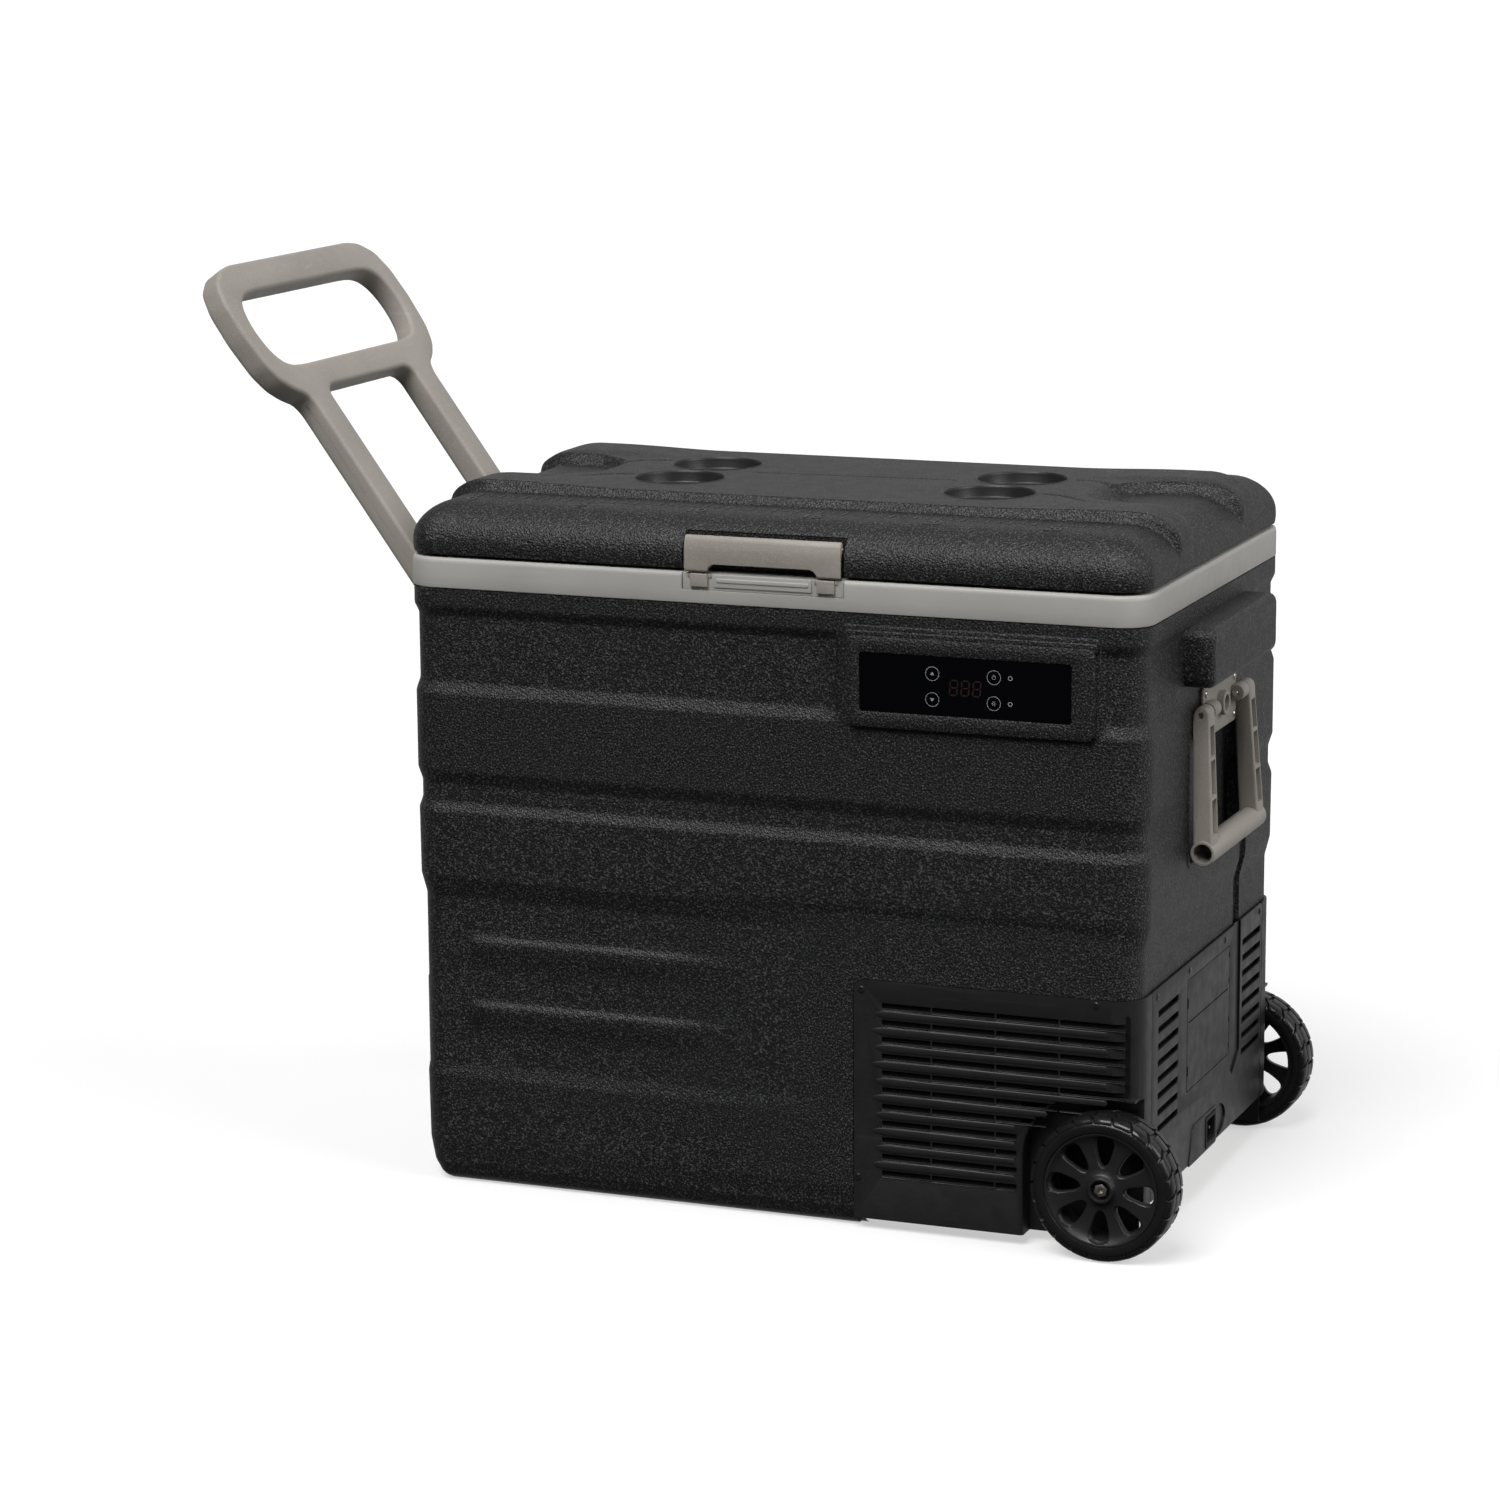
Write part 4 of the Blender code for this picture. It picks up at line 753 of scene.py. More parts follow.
# ---------------------------------------------------------------- rule on the lid
def lid_height(y):
    return float(roll_at(max(abs(y) - CORE_Y, 0.0))[1])


def glyphs(text, cx, cy, wide, deep, rise):
    """Raised numbers lying on the front terrace, readable from the front."""
    curve = bpy.data.curves.new("numbers", "FONT")
    curve.body, curve.size, curve.extrude = text, 1.0, 0.5
    curve.resolution_u = 6
    holder = linked("numbers", curve)
    mesh = evaluated_mesh(holder)
    raw = np.array([v.co[:] for v in mesh.vertices])
    low, high = raw.min(0), raw.max(0)
    size = np.maximum(high - low, 1e-6)
    verts = []
    for p in raw:
        u, v, t = (p - (low + high) / 2) / size
        y = cy + v * deep
        verts.append((cx + u * wide * len(text), y, lid_height(y) - 0.0006 + (rise + 0.0006) * (t + 0.5)))
    faces = [tuple(face.vertices) for face in mesh.polygons]
    bpy.data.objects.remove(holder)
    bpy.data.curves.remove(curve)
    bpy.data.meshes.remove(mesh)
    return verts, faces


RULE_X, INCH, RULE_Y = -0.3431, 0.0254, -0.187
marks = []
for k in range(55):
    x, half = RULE_X + k * INCH / 2, 0.008 if k % 2 == 0 else 0.0036
    outline = rounded(x - 0.001, x + 0.001, RULE_Y - half, RULE_Y + half, 0.0007, 2)
    marks.append(eased(outline, "z", TERRACE_Z - 0.0012, TERRACE_Z + 0.0009, 0.0004, 2))
for k in range(6):
    x = RULE_X + k * 5 * INCH
    marks.append(glyphs(str(5 * k), x, -0.208, 0.009, 0.016, 0.0008))
make("lid_rule", merged(*marks), "rule", "lid", sharp=40)

# ---------------------------------------------------------------- latch
latch_side = soften([(-0.2498, 0.7118), (-0.253, 0.7136), (-0.2568, 0.7104), (-0.2588, 0.701),
    (-0.2592, 0.6762), (-0.2542, 0.6762), (-0.2542, 0.695), (-0.253, 0.7), (-0.249, 0.701)], 0.0018, 3)
latch = make("latch_handle", eased(latch_side, "x", -LATCH_HALF, LATCH_HALF, 0.0014, 4), "taupe", "latch",
    ["latch"])
gap = [(-0.061, 0.66), (0.061, 0.66), (0.06, 0.678), (0.054, 0.6842), (-0.054, 0.6842), (-0.06, 0.678)]
carve(latch, flared(soften(gap, 0.002, 2), "y", -0.253, -0.2592, 0.0012, both=True))

# ---------------------------------------------------------------- control panel prints
icon_y = front_y - 0.0057


def flat_ring(cx, cz, r, width, low, high, n=28):
    return turned([(r, low), (r, high), (r - width, high), (r - width, low)], "y", cx, cz, n)


PRINT = (icon_y - 0.0001, icon_y + 0.0002)


def triangle(x, z, up):
    """Arrow head pointing up or down."""
    points = [(x - 0.0022, z - 0.0013 * up), (x + 0.0022, z - 0.0013 * up), (x, z + 0.002 * up)]
    return slab(points if up > 0 else [points[0], points[2], points[1]], "y", *PRINT)


def power(x, z):
    return merged(flat_ring(x, z, 0.0021, 0.0004, *PRINT, 20),
        box((x - 0.0002, PRINT[0], z + 0.0006), (x + 0.0002, PRINT[1], z + 0.0028)))


def cog(x, z):
    teeth = []
    for k in range(6):
        a = math.pi / 3 * k
        cx, cz = x + 0.0021 * math.cos(a), z + 0.0021 * math.sin(a)
        teeth.append(box((cx - 0.0003, PRINT[0], cz - 0.0003), (cx + 0.0003, PRINT[1], cz + 0.0003)))
    return merged(flat_ring(x, z, 0.0014, 0.0004, *PRINT, 20), *teeth)


icons = {"key_up": triangle(*KEYS["key_up"], 1), "key_down": triangle(*KEYS["key_down"], -1),
    "key_power": power(*KEYS["key_power"]), "key_set": cog(*KEYS["key_set"])}
for key, (kx, kz) in KEYS.items():
    print_shape = merged(flat_ring(kx, kz, 0.0073, 0.0005, *PRINT), icons[key])
    make(f"{key}_print", print_shape, "print", key, sharp=30)

glass_y = front_y - 0.0052
segments = []
for k in range(3):
    x0, z0, wide, tall = 0.201 + 0.0122 * k, 0.567, 0.0078, 0.015
    bars = [(x0, z0, wide, 0), (x0, z0 + tall / 2, wide, 0), (x0, z0 + tall, wide, 0), (x0, z0, tall / 2, 1),
        (x0, z0 + tall / 2, tall / 2, 1), (x0 + wide, z0, tall / 2, 1),
        (x0 + wide, z0 + tall / 2, tall / 2, 1)]
    for bx, bz, length, upright in bars:
        a, b, w = 0.0006, length - 0.0006, 0.0007
        shape = [(a, 0), (a + w, -w), (b - w, -w), (b, 0), (b - w, w), (a + w, w)]
        shape = [(bx - v, bz + u) if upright else (bx + u, bz + v) for u, v in shape]
        segments.append(slab([(x + (z - z0) * 0.08, z) for x, z in shape], "y", glass_y - 0.00012,
            glass_y + 0.0002))
make("display_digits", merged(*segments), "digit", sharp=30)
lamps = merged(*[flat_ring(0.2648, z, 0.0024, 0.0007, glass_y - 0.00015, glass_y + 0.0002, 20)
    for z in (0.5877, 0.5616)])
make("panel_lamps", lamps, "print", sharp=30)


# ---------------------------------------------------------------- vent covers
def cover_path(inset, side):
    """From the face round the vertical corner to the wheel end."""
    r, cx, cy = CORNER - inset, HALF_X - CORNER, side * (HALF_Y - CORNER)
    bend = [(cx + r * math.sin(a), cy + side * r * math.cos(a)) for a in quarter(14)]
    return [(BAY_X + 0.0008, side * (HALF_Y - inset))] + bend + [(HALF_X - inset, side * 0.2083)]


def arch(grow, right, n=24):
    cx, cz, r = ARCH_X + ARCH_R, ARCH_TOP - ARCH_R, ARCH_R + grow
    bend = [(cx - r * math.cos(a), cz + r * math.sin(a)) for a in quarter(n)]
    return [(ARCH_X - grow, -0.002)] + bend + [(right, ARCH_TOP + grow), (right, -0.002)]


def slot_spans(i):
    right = 0.386 if i < 6 else (0.303 if i == 6 else 0.2715)
    edges = [0.125, 0.179, 0.2475, 0.315, 0.386]
    return [(a + 0.0009, min(b, right) - 0.0009) for a, b in zip(edges, edges[1:]) if a + 0.006 < right]


def cover_corner(out, low, right, r):
    """Outline between the bay's square corner and the cover's rounded one."""
    bend = [(BAY_X + 0.0138 - r * math.cos(a), BAY_Z - 0.0136 + r * math.sin(a)) for a in quarter(8)]
    return [(BAY_X - out, BAY_Z + out), (BAY_X - out, BAY_Z - low)] + bend + [(BAY_X + right, BAY_Z + out)]


def screws(axis, face, side, profile, places):
    """Screw heads with a sunk middle: (radius, height over the face) turned round each place."""
    rings = [(r, face + side * rise) for r, rise in profile]
    return merged(*[turned(rings, axis, u, v, 24, closed=False) for u, v in places])


COVER_SCREW = [(0.0038, -0.001), (0.0038, 0.0004), (0.003, 0.0009), (0.0012, 0.0009), (0.0011, -0.0002),
    (0.0004, -0.0002)]
END_SCREW = [(0.004, -0.001), (0.004, 0.0004), (0.0031, 0.001), (0.0013, 0.001), (0.0012, -0.0002),
    (0.0004, -0.0002)]
BRACKET_SCREW = [(0.0036, 0.003), (0.0036, 0.0048), (0.0028, 0.0056), (0.0012, 0.0056), (0.001, 0.0046),
    (0.0004, 0.0046)]

for name, side in (("front", -1), ("rear", 1)):
    face = side * (HALF_Y - COVER_OUT)
    outline = cover_path(COVER_OUT, side) + cover_path(COVER_OUT + COVER_T, side)[::-1]
    cover = make(f"{name}_cover", slab(outline, "z", 0.0112, BAY_Z - 0.0006), "satin",
        replaced=[f"{name}_vent_cover"])
    carve(cover, slab(arch(0.0025, 0.3945), "y", side * 0.2505, side * 0.2265), "UNION")
    mouth = swept(arch(0.0, 0.45), "y", [(0.0, side * 0.229), (0.0, face - side * 0.003),
        (0.0008, face - side * 0.0012), (0.003, face + side * 0.0001), (0.003, side * 0.3)])
    cuts = [mouth]
    for i in range(11):
        z = 0.2385 - SLOT_PITCH * i
        cuts += [flared(rounded(a, b, z - 0.0028, z + 0.0028, 0.0009, 2), "y", face - side * 0.006, face,
            0.0006, 2) for a, b in slot_spans(i)]
    cuts.append(box((0.26, min(side * 0.3, side * 0.2), -0.01), (0.45, max(side * 0.3, side * 0.2), 0.0111)))
    cuts.append(box((0.393, min(side * 0.3, side * 0.2), 0.0112), (0.45, max(side * 0.3, side * 0.2), 0.045)))
    cuts.append(slab(cover_corner(0.003, 0.0135, 0.0138, 0.013), "y", side * 0.2, side * 0.3))
    cuts.append(turned([(AXLE_R + 0.001, side * 0.2), (AXLE_R + 0.001, side * 0.235)], "y", WHEEL_X, WHEEL_Z,
        24, closed=False))
    for cut_shape in (merged(cuts[0]), merged(*cuts[1:-4]), merged(*cuts[-4:-2]), cuts[-2], cuts[-1]):
        carve(cover, cut_shape)
    # A near-black sheet behind the slots paints the shade of the bay inside.
    screen = [(0.118, 0.05), (0.2735, 0.05), (0.2735, 0.166), (0.388, 0.166), (0.388, 0.25), (0.118, 0.25)]
    make(f"{name}_dust_screen", slab(corners(screen, 0.0, 0.003, 3), "y", side * 0.2482, side * 0.247),
        "mesh")
    corner_y = HALF_Y - (0.0035 if side < 0 else 0.0065)
    filler = cover_corner(0.0012, 0.0145, 0.015, 0.0136)
    make(f"{name}_seam_corner", slab(filler, "y", side * corner_y, side * (corner_y - 0.0042)), "shell")
    # Louvre strips bulge a little between the slots and taper out at the left; a lip lies under each slot.
    louvres, lips = [], []
    for i in range(11):
        z = 0.2385 - SLOT_PITCH * i
        right = slot_spans(i)[-1][1]
        lips += [eased(rounded(a, b, z - 0.0042, z - 0.0031, 0.0004, 2), "y", face - side * 0.0006,
            face + side * 0.0004, 0.0003, 1) for a, b in slot_spans(i)]
        if i == 10:
            continue
        mid, start = z - SLOT_PITCH / 2, 0.1133 if i % 2 else 0.1165
        stations = [(start, 0.03), (start + 0.004, 0.5), (start + 0.01, 0.85), (start + 0.022, 1.0)]
        end = min(right, 0.366 if i < 5 else (0.303 if i == 5 else 0.269))
        stations += [(start + 0.06, 1.0 if i % 2 else 0.8), (end - 0.002, 0.7), (end, 0.05)]
        rings = []
        for x, size in stations:
            half, rise = 0.0044 * max(size, 0.1), 0.0011 * size
            rings.append([(x, face + side * rise * math.cos(t) - side * 0.0003 * (1 - size),
                mid + half * math.sin(t)) for t in (-math.pi / 2 + math.pi * q / 8 for q in range(9))] + [(x,
                face - side * 0.0008, mid)])
        louvres.append(loft(rings))
    make(f"{name}_cover_louvres", merged(*louvres), "satin")
    make(f"{name}_slot_lips", merged(*lips), "satin")
    places = ((0.1035, 0.2537), (0.3532, 0.259), (0.0995, 0.0547))
    make(f"{name}_cover_screws", screws("y", face, side, COVER_SCREW, places), "enamel")

# ---------------------------------------------------------------- end cover, battery door and power socket
END_X = HALF_X - COVER_OUT
end_cover = make("end_cover", eased(rounded(-0.2075, 0.2075, 0.0455, BAY_Z - 0.0006, 0.004, 4), "x",
    END_X - COVER_T, END_X, 0.0007, 2), "satin", replaced=["end_vent_cover"])
door_hole = rounded(DOOR_Y[0] - 0.0006, DOOR_Y[1] + 0.0006, DOOR_Z[0] - 0.0006, DOOR_Z[1] + 0.0006, 0.003, 4)
holes = [flared(door_hole, "x", 0.38, END_X, 0.0007, 2),
    flared(rounded(-0.0118, 0.0283, 0.0468, 0.0818, 0.0015, 3), "x", 0.38, END_X, 0.0007, 2)]
for low, high in ((-0.185, -0.113), (0.13, 0.201)):
    for i in range(8):
        z = 0.2375 - 0.0173 * i
        holes.append(flared(rounded(low, high, z - 0.0035, z + 0.0035, 0.0012, 3), "x", 0.38, END_X, 0.0006,
            2))
carve(end_cover, merged(*holes))
groove = [(0.1, 0.27), (0.1, 0.126), (0.085, 0.109), (0.0935, 0.101), (0.1215, 0.122), (0.1215, 0.27)]
dents = [slab(groove[::-1], "x", END_X - 0.0023, END_X + 0.002),
    slab([(0.0335 + 0.036 * math.sin(a), 0.065 - 0.018 * math.cos(a))
    for a in (math.pi * k / 14 for k in range(15))], "x", END_X - 0.0024, END_X + 0.002)]
carve(end_cover, merged(*dents))
door_plate = rounded(DOOR_Y[0], DOOR_Y[1], DOOR_Z[0], DOOR_Z[1], 0.0028, 4)
door = make("battery_door_panel", eased(door_plate, "x", END_X - 0.003, END_X, 0.0008, 3), "satin",
    "battery_door", ["battery_door"])
door_cuts = [box((END_X - 0.0014, DOOR_Y[0] - 0.001, z - 0.0055),
    (END_X + 0.002, DOOR_Y[0] + 0.004, z + 0.0055)) for z in (0.2215, 0.149)]
door_cuts += [box((END_X - 0.0012, DOOR_Y[1] - 0.003, z - 0.003),
    (END_X + 0.002, DOOR_Y[1] + 0.001, z + 0.003)) for z in (0.237, 0.209, 0.166, 0.138)]
carve(door, merged(*door_cuts))
rib_line = merged(eased(rounded(DOOR_Y[0] + 0.006, DOOR_Y[1] - 0.006, 0.2004, 0.2014, 0.0004, 2), "x",
    END_X - 0.0005, END_X + 0.0004, 0.0003, 1))
make("battery_door_line", rib_line, "satin", "battery_door")
panel = [(-0.073, 0.044), (0.033, 0.044), (0.033, 0.085), (-0.056, 0.085)]
frame_shape = eased(soften(panel, 0.003, 2), "x", END_X - 0.0012, END_X + 0.001, 0.0006, 2)
socket_panel = make("socket_panel", frame_shape, "satin")
carve(socket_panel, flared(rounded(-0.0118, 0.0283, 0.0468, 0.0818, 0.0015, 3), "x", 0.38, END_X + 0.002,
    0.0004, 2))
socket = loft([[(x, y, z) for y, z in rounded(-0.0105 + g, 0.027 - g, 0.048 + g, 0.0806 - g, 0.002, 3)]
    for g, x in ((0.0, 0.396), (0.0, 0.4002), (0.0008, 0.4006), (0.003, 0.4006), (0.004, 0.4),
    (0.0045, 0.388))], caps=(False, True))
make("socket_frame", socket, "rubber", replaced=["dc_inlet"])
# Near-black sheets behind the end slots paint the shade of the bay inside.
make("end_dust_screens",
    merged(*[box((0.3905, low, 0.102), (0.3917, high, 0.248))
    for low, high in ((-0.189, -0.109), (0.126, 0.205))]), "mesh")
places = ((-0.189, 0.2565), (-0.0725, 0.256), (0.0632, 0.256), (0.1995, 0.2565))
make("end_cover_screws", screws("x", END_X, 1, END_SCREW, places), "enamel")

# ---------------------------------------------------------------- wheels
# Radius and depth from the wheel's outer face: rim, tyre and the blocks of its tread.
RIM = [(AXLE_R + 0.0001, 0.0365), (AXLE_R + 0.0001, 0.0067), (0.0098, 0.0067), (0.0102, 0.001),
    (0.0108, -0.0003), (0.0124, -0.0004), (0.0134, 0.0004), (0.0142, 0.003), (0.0165, 0.005), (0.022, 0.0056),
    (0.035, 0.0062), (0.048, 0.0056), (0.0535, 0.004), (0.056, 0.002), (0.0575, 0.0011), (0.059, 0.0012),
    (0.059, 0.04), (0.055, 0.04), (0.053, 0.013), (0.017, 0.013), (0.0145, 0.0365)]
TYRE = [(0.0593, 0.0425), (0.0593, 0.0016), (0.06, 0.0006), (0.0615, 0.0002), (0.066, 0.0), (0.0688, 0.0006),
    (0.07, 0.002), (0.0718, 0.004), (0.073, 0.007), (0.0732, 0.011), (0.0732, 0.033), (0.073, 0.037),
    (0.0718, 0.04), (0.069, 0.0428), (0.0615, 0.0436)]
SHOULDER = [(0.0692, 0.0004), (0.0712, 0.0005), (0.0733, 0.0019), (0.0747, 0.0042), (0.0754, 0.0075),
    (0.0755, 0.0132), (0.0725, 0.0134), (0.0705, 0.006), (0.069, 0.003)]
MIDDLE = [(0.0725, 0.0152), (0.0752, 0.0154), (0.0755, 0.016), (0.0755, 0.028), (0.0752, 0.0286),
    (0.0725, 0.0288)]
petal = soften([(0.0226, 0.0), (0.0262, 0.0042), (0.033, 0.0068), (0.042, 0.009), (0.0475, 0.0097),
    (0.052, 0.0078), (0.0545, 0.0), (0.052, -0.0078), (0.0475, -0.0097), (0.042, -0.009), (0.033, -0.0068),
    (0.0262, -0.0042)], 0.0015, 2)
for name, side in (("front", -1), ("rear", 1)):
    def out(depth):
        return side * (WHEEL_FACE - depth)

    body = f"{name}_wheel"
    rim = make(f"{name}_rim", turned([(r, out(d)) for r, d in RIM], "y", WHEEL_X, WHEEL_Z, 64), "satin", body,
        [f"{name}_wheel_rim"])
    cutters = []
    for k in range(8):
        a = math.radians(-3.0 + 45.0 * k)
        c, s = math.cos(a), math.sin(a)
        shape = [(WHEEL_X + r * c - w * s, WHEEL_Z + r * s + w * c) for r, w in petal]
        cutters.append(swept(shape, "y", [(0.0, out(0.018)), (0.0, out(0.0078)), (0.0006, out(0.0066)),
            (0.0018, out(0.0056)), (0.003, out(0.003)), (0.003, out(-0.002))]))
    carve(rim, merged(*cutters))
    tyre = turned([(r, out(d)) for r, d in TYRE], "y", WHEEL_X, WHEEL_Z, 96)
    blocks = []
    for k in range(22):
        for section, lean, offset in ((SHOULDER, 9.0, 0.0), (MIDDLE, 0.0, 0.5),
                ([(r, 0.044 - d) for r, d in SHOULDER], -9.0, 0.0)):
            rings = []
            for step, lower in ((-1.0, 0.001), (-0.93, 0.0), (0.0, 0.0), (0.93, 0.0), (1.0, 0.001)):
                ring = []
                for r, d in section:
                    a = 2 * math.pi * (k + offset) / 22 + step * 0.123 + lean * (d - 0.022) * 0.9
                    ring.append((WHEEL_X + (r - lower * (r > 0.072)) * math.cos(a), out(d),
                        WHEEL_Z + (r - lower * (r > 0.072)) * math.sin(a)))
                rings.append(ring)
            blocks.append(loft(rings))
    make(f"{name}_tyre_tread", merged(tyre, *blocks), "tyre", body, [f"{name}_tyre"], sharp=40)
    bolt_y = sorted((out(0.0067), out(0.0016)))
    bolt = eased(circle(WHEEL_X, WHEEL_Z, 0.0073, 6, 0.3), "y", *bolt_y, 0.001, 2)
    bolt_obj = make(f"{name}_bolt", bolt, "steel", body, [f"{name}_wheel_bolt"], sharp=30)
    carve(bolt_obj, slab(circle(WHEEL_X, WHEEL_Z, 0.0034, 6), "y", out(0.0045), out(-0.002)), sharp=30)

# ---------------------------------------------------------------- tow handle
tow_half = [(0.3385, 0.092), (0.33, ARM_IN), (-0.007, ARM_IN), (-0.007, ARM_OUT), (0.322, ARM_OUT),
    (0.334, 0.151), (0.342, 0.168), (0.356, 0.185), (0.378, 0.196), (0.418, 0.201), (0.456, 0.1985),
    (0.482, 0.187), (0.496, 0.164), (0.5, 0.14)]
grip_half = [(0.37, 0.12), (0.373, 0.15), (0.386, 0.166), (0.408, 0.1735), (0.432, 0.173), (0.452, 0.164),
    (0.462, 0.146), (0.464, 0.12)]


def mirrored(points):
    return points + [(s, -y) for s, y in reversed(points)]


handle_outline = soften(mirrored(tow_half), 0.004, 3)
handle = make("tow_handle_frame", eased(handle_outline, "tow", -TOW_HALF_T, TOW_HALF_T, 0.0045, 4), "taupe",
    "tow_handle", ["tow_handle"], sharp=30)
carve(handle, flared(soften(mirrored(grip_half), 0.008, 3), "tow", -TOW_HALF_T, TOW_HALF_T, 0.0045, 4, True),
    sharp=30)


def tow_hollow(s0, s1, y0, y1):
    return swept(rounded(s0, s1, min(y0, y1), max(y0, y1), 0.004, 3), "tow",
        [(0.001, -0.05), (0.001, -TOW_HALF_T), (0.0, -TOW_HALF_T + 0.001), (-0.0005, 0.0085)])


tow_cuts = [tow_hollow(0.469, 0.495, -0.13, 0.13), tow_hollow(0.343, 0.365, -0.088, 0.088)]
for s in (-1, 1):
    tow_cuts.append(tow_hollow(0.02, 0.325, s * (ARM_IN + 0.0045), s * (ARM_OUT - 0.0045)))
    tow_cuts.append(tow_hollow(0.385, 0.45, s * 0.1785, s * 0.1935))
carve(handle, merged(*tow_cuts), sharp=30)
bores = [turned([(0.0041, s * 0.09), (0.0041, s * 0.16)], "y", TOW_X, TOW_Z, 24, closed=False)
    for s in (-1, 1)]
seams = []
for s in (-1, 1):
    a, b = sorted((s * (ARM_OUT - 0.0006), s * (ARM_OUT + 0.004)))
    seams.append(loft([[tow_place(q, y, n) for q, y in ((0.014, a), (0.326, a), (0.326, b), (0.014, b))]
        for n in (-0.0006, 0.0006)]))
carve(handle, merged(*bores, *seams), sharp=30)

# ---------------------------------------------------------------- carry handle and its bracket
grip_x, grip_z = CARRY_X + CARRY_LEAN, CARRY_Z - CARRY_DROP
# Height over the pivot, half width out from the shell, distance from the middle and half width along it.
ARM_LEVELS = [(0.0083, 0.0024, 0.077, 0.0092), (0.0074, 0.0045, 0.077, 0.0104),
    (0.0054, 0.0067, 0.077, 0.0109), (0.0015, 0.0084, 0.077, 0.0111), (-0.01, 0.0088, 0.0775, 0.0115)]
grip_profile = [(0.01, -0.1), (0.0122, -0.1), (0.013, -0.099), (0.013, 0.099), (0.0122, 0.1), (0.01, 0.1)]
carry = make("carry_handle_frame", turned(grip_profile, "y", grip_x, grip_z, 40), "taupe", "carry_handle",
    ["carry_handle"], sharp=35)
for s in (-1, 1):
    levels = [(CARRY_Z + rise, CARRY_X, hx, y, hy) for rise, hx, y, hy in ARM_LEVELS]
    levels += [(grip_z + 0.01, grip_x - 0.0003, 0.0103, 0.0865, 0.0124),
        (grip_z + 0.002, grip_x, 0.0105, 0.087, 0.0125)]
    rings = []
    for z, x, hx, y, hy in levels:
        rings.append([(u, v, z) for u, v in rounded(x - hx, x + hx, s * y - hy, s * y + hy,
            min(0.0022, hx * 0.8), 3)])
    carve(carry, loft(rings), "UNION")
for s in (-1, 1):
    cells = []
    stops = [CARRY_Z - 0.01, CARRY_Z - 0.045, CARRY_Z - 0.085, grip_z + 0.016]
    for top, low in zip(stops, stops[1:]):
        rings = []
        for z in (low + 0.002, top - 0.002):
            f = (CARRY_Z - z) / CARRY_DROP
            x, y = CARRY_X + CARRY_LEAN * f + 0.0086 + 0.0017 * f, s * (0.0772 + 0.0095 * f)
            hy = 0.008 + 0.0006 * f
            rings.append([(x - 0.0045, y - hy + 0.001, z), (x + 0.004, y - hy, z), (x + 0.004, y + hy, z),
                (x - 0.0045, y + hy - 0.001, z)])
        cells.append(loft(rings))
    carve(carry, merged(*cells))
carry_bores = merged(turned([(0.0031, -0.11), (0.0031, 0.11)], "y", CARRY_X, CARRY_Z, 20, closed=False),
    turned([(0.01, -0.11), (0.01, 0.11)], "y", grip_x, grip_z, 40, closed=False))
carve(carry, carry_bores)

plate = make("carry_bracket_plate", eased(rounded(-0.062, 0.062, 0.4955, 0.55, 0.006, 5), "x",
    HALF_X + 0.0003, HALF_X + 0.004, 0.0012, 3), "taupe", replaced=["carry_bracket"])
for s in (-1, 1):
    lo, hi = sorted((s * 0.042, s * 0.0645))
    carve(plate, eased(circle(CARRY_X, CARRY_Z, 0.0088, 28), "y", lo, hi, 0.001, 2), "UNION")
eye = eased(circle(0.0, 0.525, 0.013, 36), "x", HALF_X + 0.001, HALF_X + 0.012, 0.0016, 3)
carve(plate, eye, "UNION")
carve(plate,
    merged(*[turned([(0.0032, s * 0.038), (0.0032, s * 0.07)], "y", CARRY_X, CARRY_Z, 20, closed=False)
    for s in (-1, 1)]))
carve(plate, flared(circle(0.0, 0.525, 0.0086, 32), "x", HALF_X + 0.005, HALF_X + 0.012, 0.001, 2))
stubs = [turned([(0.0026, s * 0.039), (0.003, s * 0.0394), (0.003, s * 0.0876), (0.0026, s * 0.088)], "y",
    CARRY_X, CARRY_Z, 24, closed=False) for s in (-1, 1)]
make("carry_pin_stubs", merged(*stubs), "steel", replaced=["carry_pin"], sharp=30)
places = [(y, z) for y in (-0.0535, 0.0535) for z in (0.503, 0.543)]
make("bracket_screws", screws("x", HALF_X, 1, BRACKET_SCREW, places), "steel", sharp=30)

# ---------------------------------------------------------------- floor, light and camera
def studio(name, shape, look, glow, hidden):
    """White studio surface with a soft glow of its own, which some kinds of rays don't meet."""
    obj = linked(name, mesh_of(name, shape, recalc=False))
    inputs = look.node_tree.nodes["Principled BSDF"].inputs
    inputs["Emission Color"].default_value = (1.0, 1.0, 1.0, 1.0)
    inputs["Emission Strength"].default_value = glow
    obj.data.materials.append(look)
    for rays in hidden:
        setattr(obj, f"visible_{rays}", False)


cells = np.linspace(-60.0, 60.0, 7)
floor_verts = [(x, y, -0.0004) for x in cells for y in cells]
floor_faces = [(i * 7 + j, (i + 1) * 7 + j, (i + 1) * 7 + j + 1, i * 7 + j + 1) for i in range(6)
    for j in range(6)]
floor_look = surface("studio_floor", (0.5, 0.5, 0.5), 0.85, 0.1, grain=0.0001, bump=0.05, cell=60.0,
    vary=0.005)
studio("studio_floor", (floor_verts, floor_faces), floor_look, 0.52, ("diffuse", "glossy"))
dome_profile = [(58.0 * math.cos(a) + 0.01, 58.0 * math.sin(a) - 1.0) for a in quarter(12)]
dome = turned(dome_profile, "z", 0.0, 0.0, 32, closed=False, caps=(False, True))
dome_look = surface("studio_backdrop", (0.02, 0.02, 0.02), 0.9, 0.0, grain=0.0001, bump=0.02, cell=1.0,
    vary=0.01)
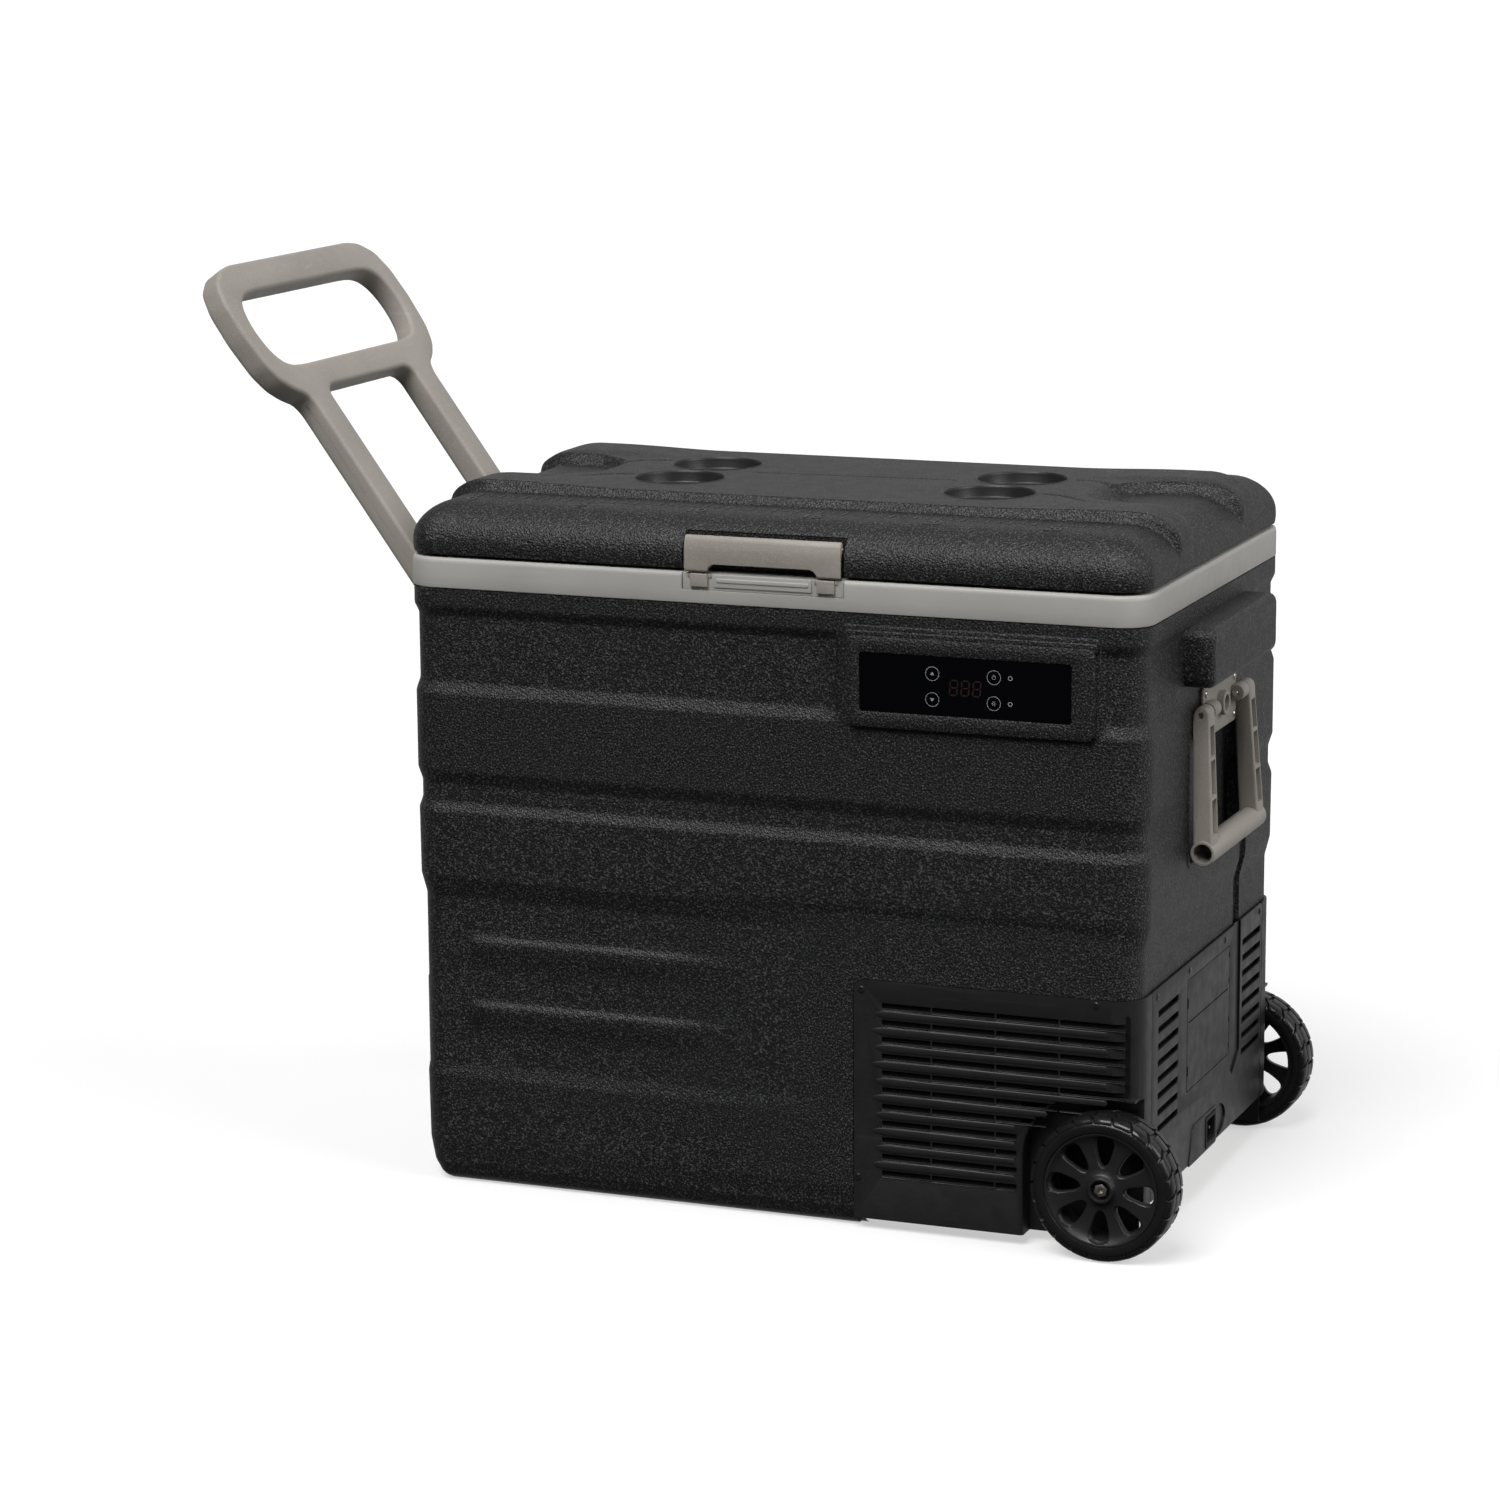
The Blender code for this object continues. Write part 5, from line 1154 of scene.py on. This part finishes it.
studio("studio_backdrop", dome, dome_look, 1.0, ("diffuse", "glossy", "transmission", "shadow"))

# Soft surroundings: a white wall behind the fridge, a dim room in front of it.
world = bpy.data.worlds.new("studio")
bpy.context.scene.world = world
world.use_nodes = True
world_nodes, world_links = world.node_tree.nodes, world.node_tree.links
split = world_nodes.new("ShaderNodeSeparateXYZ")
world_links.new(world_nodes.new("ShaderNodeTexCoord").outputs["Generated"], split.inputs["Vector"])
glow = world_nodes.new("ShaderNodeMapRange")
world_links.new(split.outputs["Y"], glow.inputs["Value"])
for socket, number in zip(("From Min", "From Max", "To Min", "To Max"), (-0.1, 0.65, 0.05, 0.45)):
    glow.inputs[socket].default_value = number
world_links.new(glow.outputs["Result"], world_nodes["Background"].inputs["Strength"])
world_nodes["Background"].inputs["Color"].default_value = (1.0, 1.0, 1.0, 1.0)


def sun(name, direction, strength, angle):
    data = bpy.data.lights.new(name, "SUN")
    data.energy, data.angle = strength, math.radians(angle)
    linked(name, data).rotation_euler = Vector(direction).to_track_quat("Z", "Y").to_euler()


sun("overhead_softbox", (-0.1, -0.72, 1.0), 2.9, 40.0)
sun("side_softbox", (1.0, -0.1, 0.6), 1.3, 40.0)

azimuth, elevation, roll = math.radians(21.7111), math.radians(11.6597), math.radians(0.443)
level = Vector((math.cos(azimuth), math.sin(azimuth), 0.0))
back = Vector((math.sin(azimuth) * math.cos(elevation), -math.cos(azimuth) * math.cos(elevation),
    math.sin(elevation)))
upward = back.cross(level)
cam_right = level * math.cos(roll) - upward * math.sin(roll)
cam_up = level * math.sin(roll) + upward * math.cos(roll)
camera_data = bpy.data.cameras.new("photo_camera")
camera_data.lens, camera_data.sensor_width = 108.22, 36.0
camera_data.clip_end = 500.0
camera = linked("photo_camera", camera_data)
camera.matrix_world = Matrix.Translation((1.6453, -4.4252, 1.4213)) @ Matrix((cam_right, cam_up,
    back)).transposed().to_4x4()
bpy.context.scene.camera = camera
bpy.context.scene.view_settings.view_transform = "Standard"

bpy.context.view_layer.update()
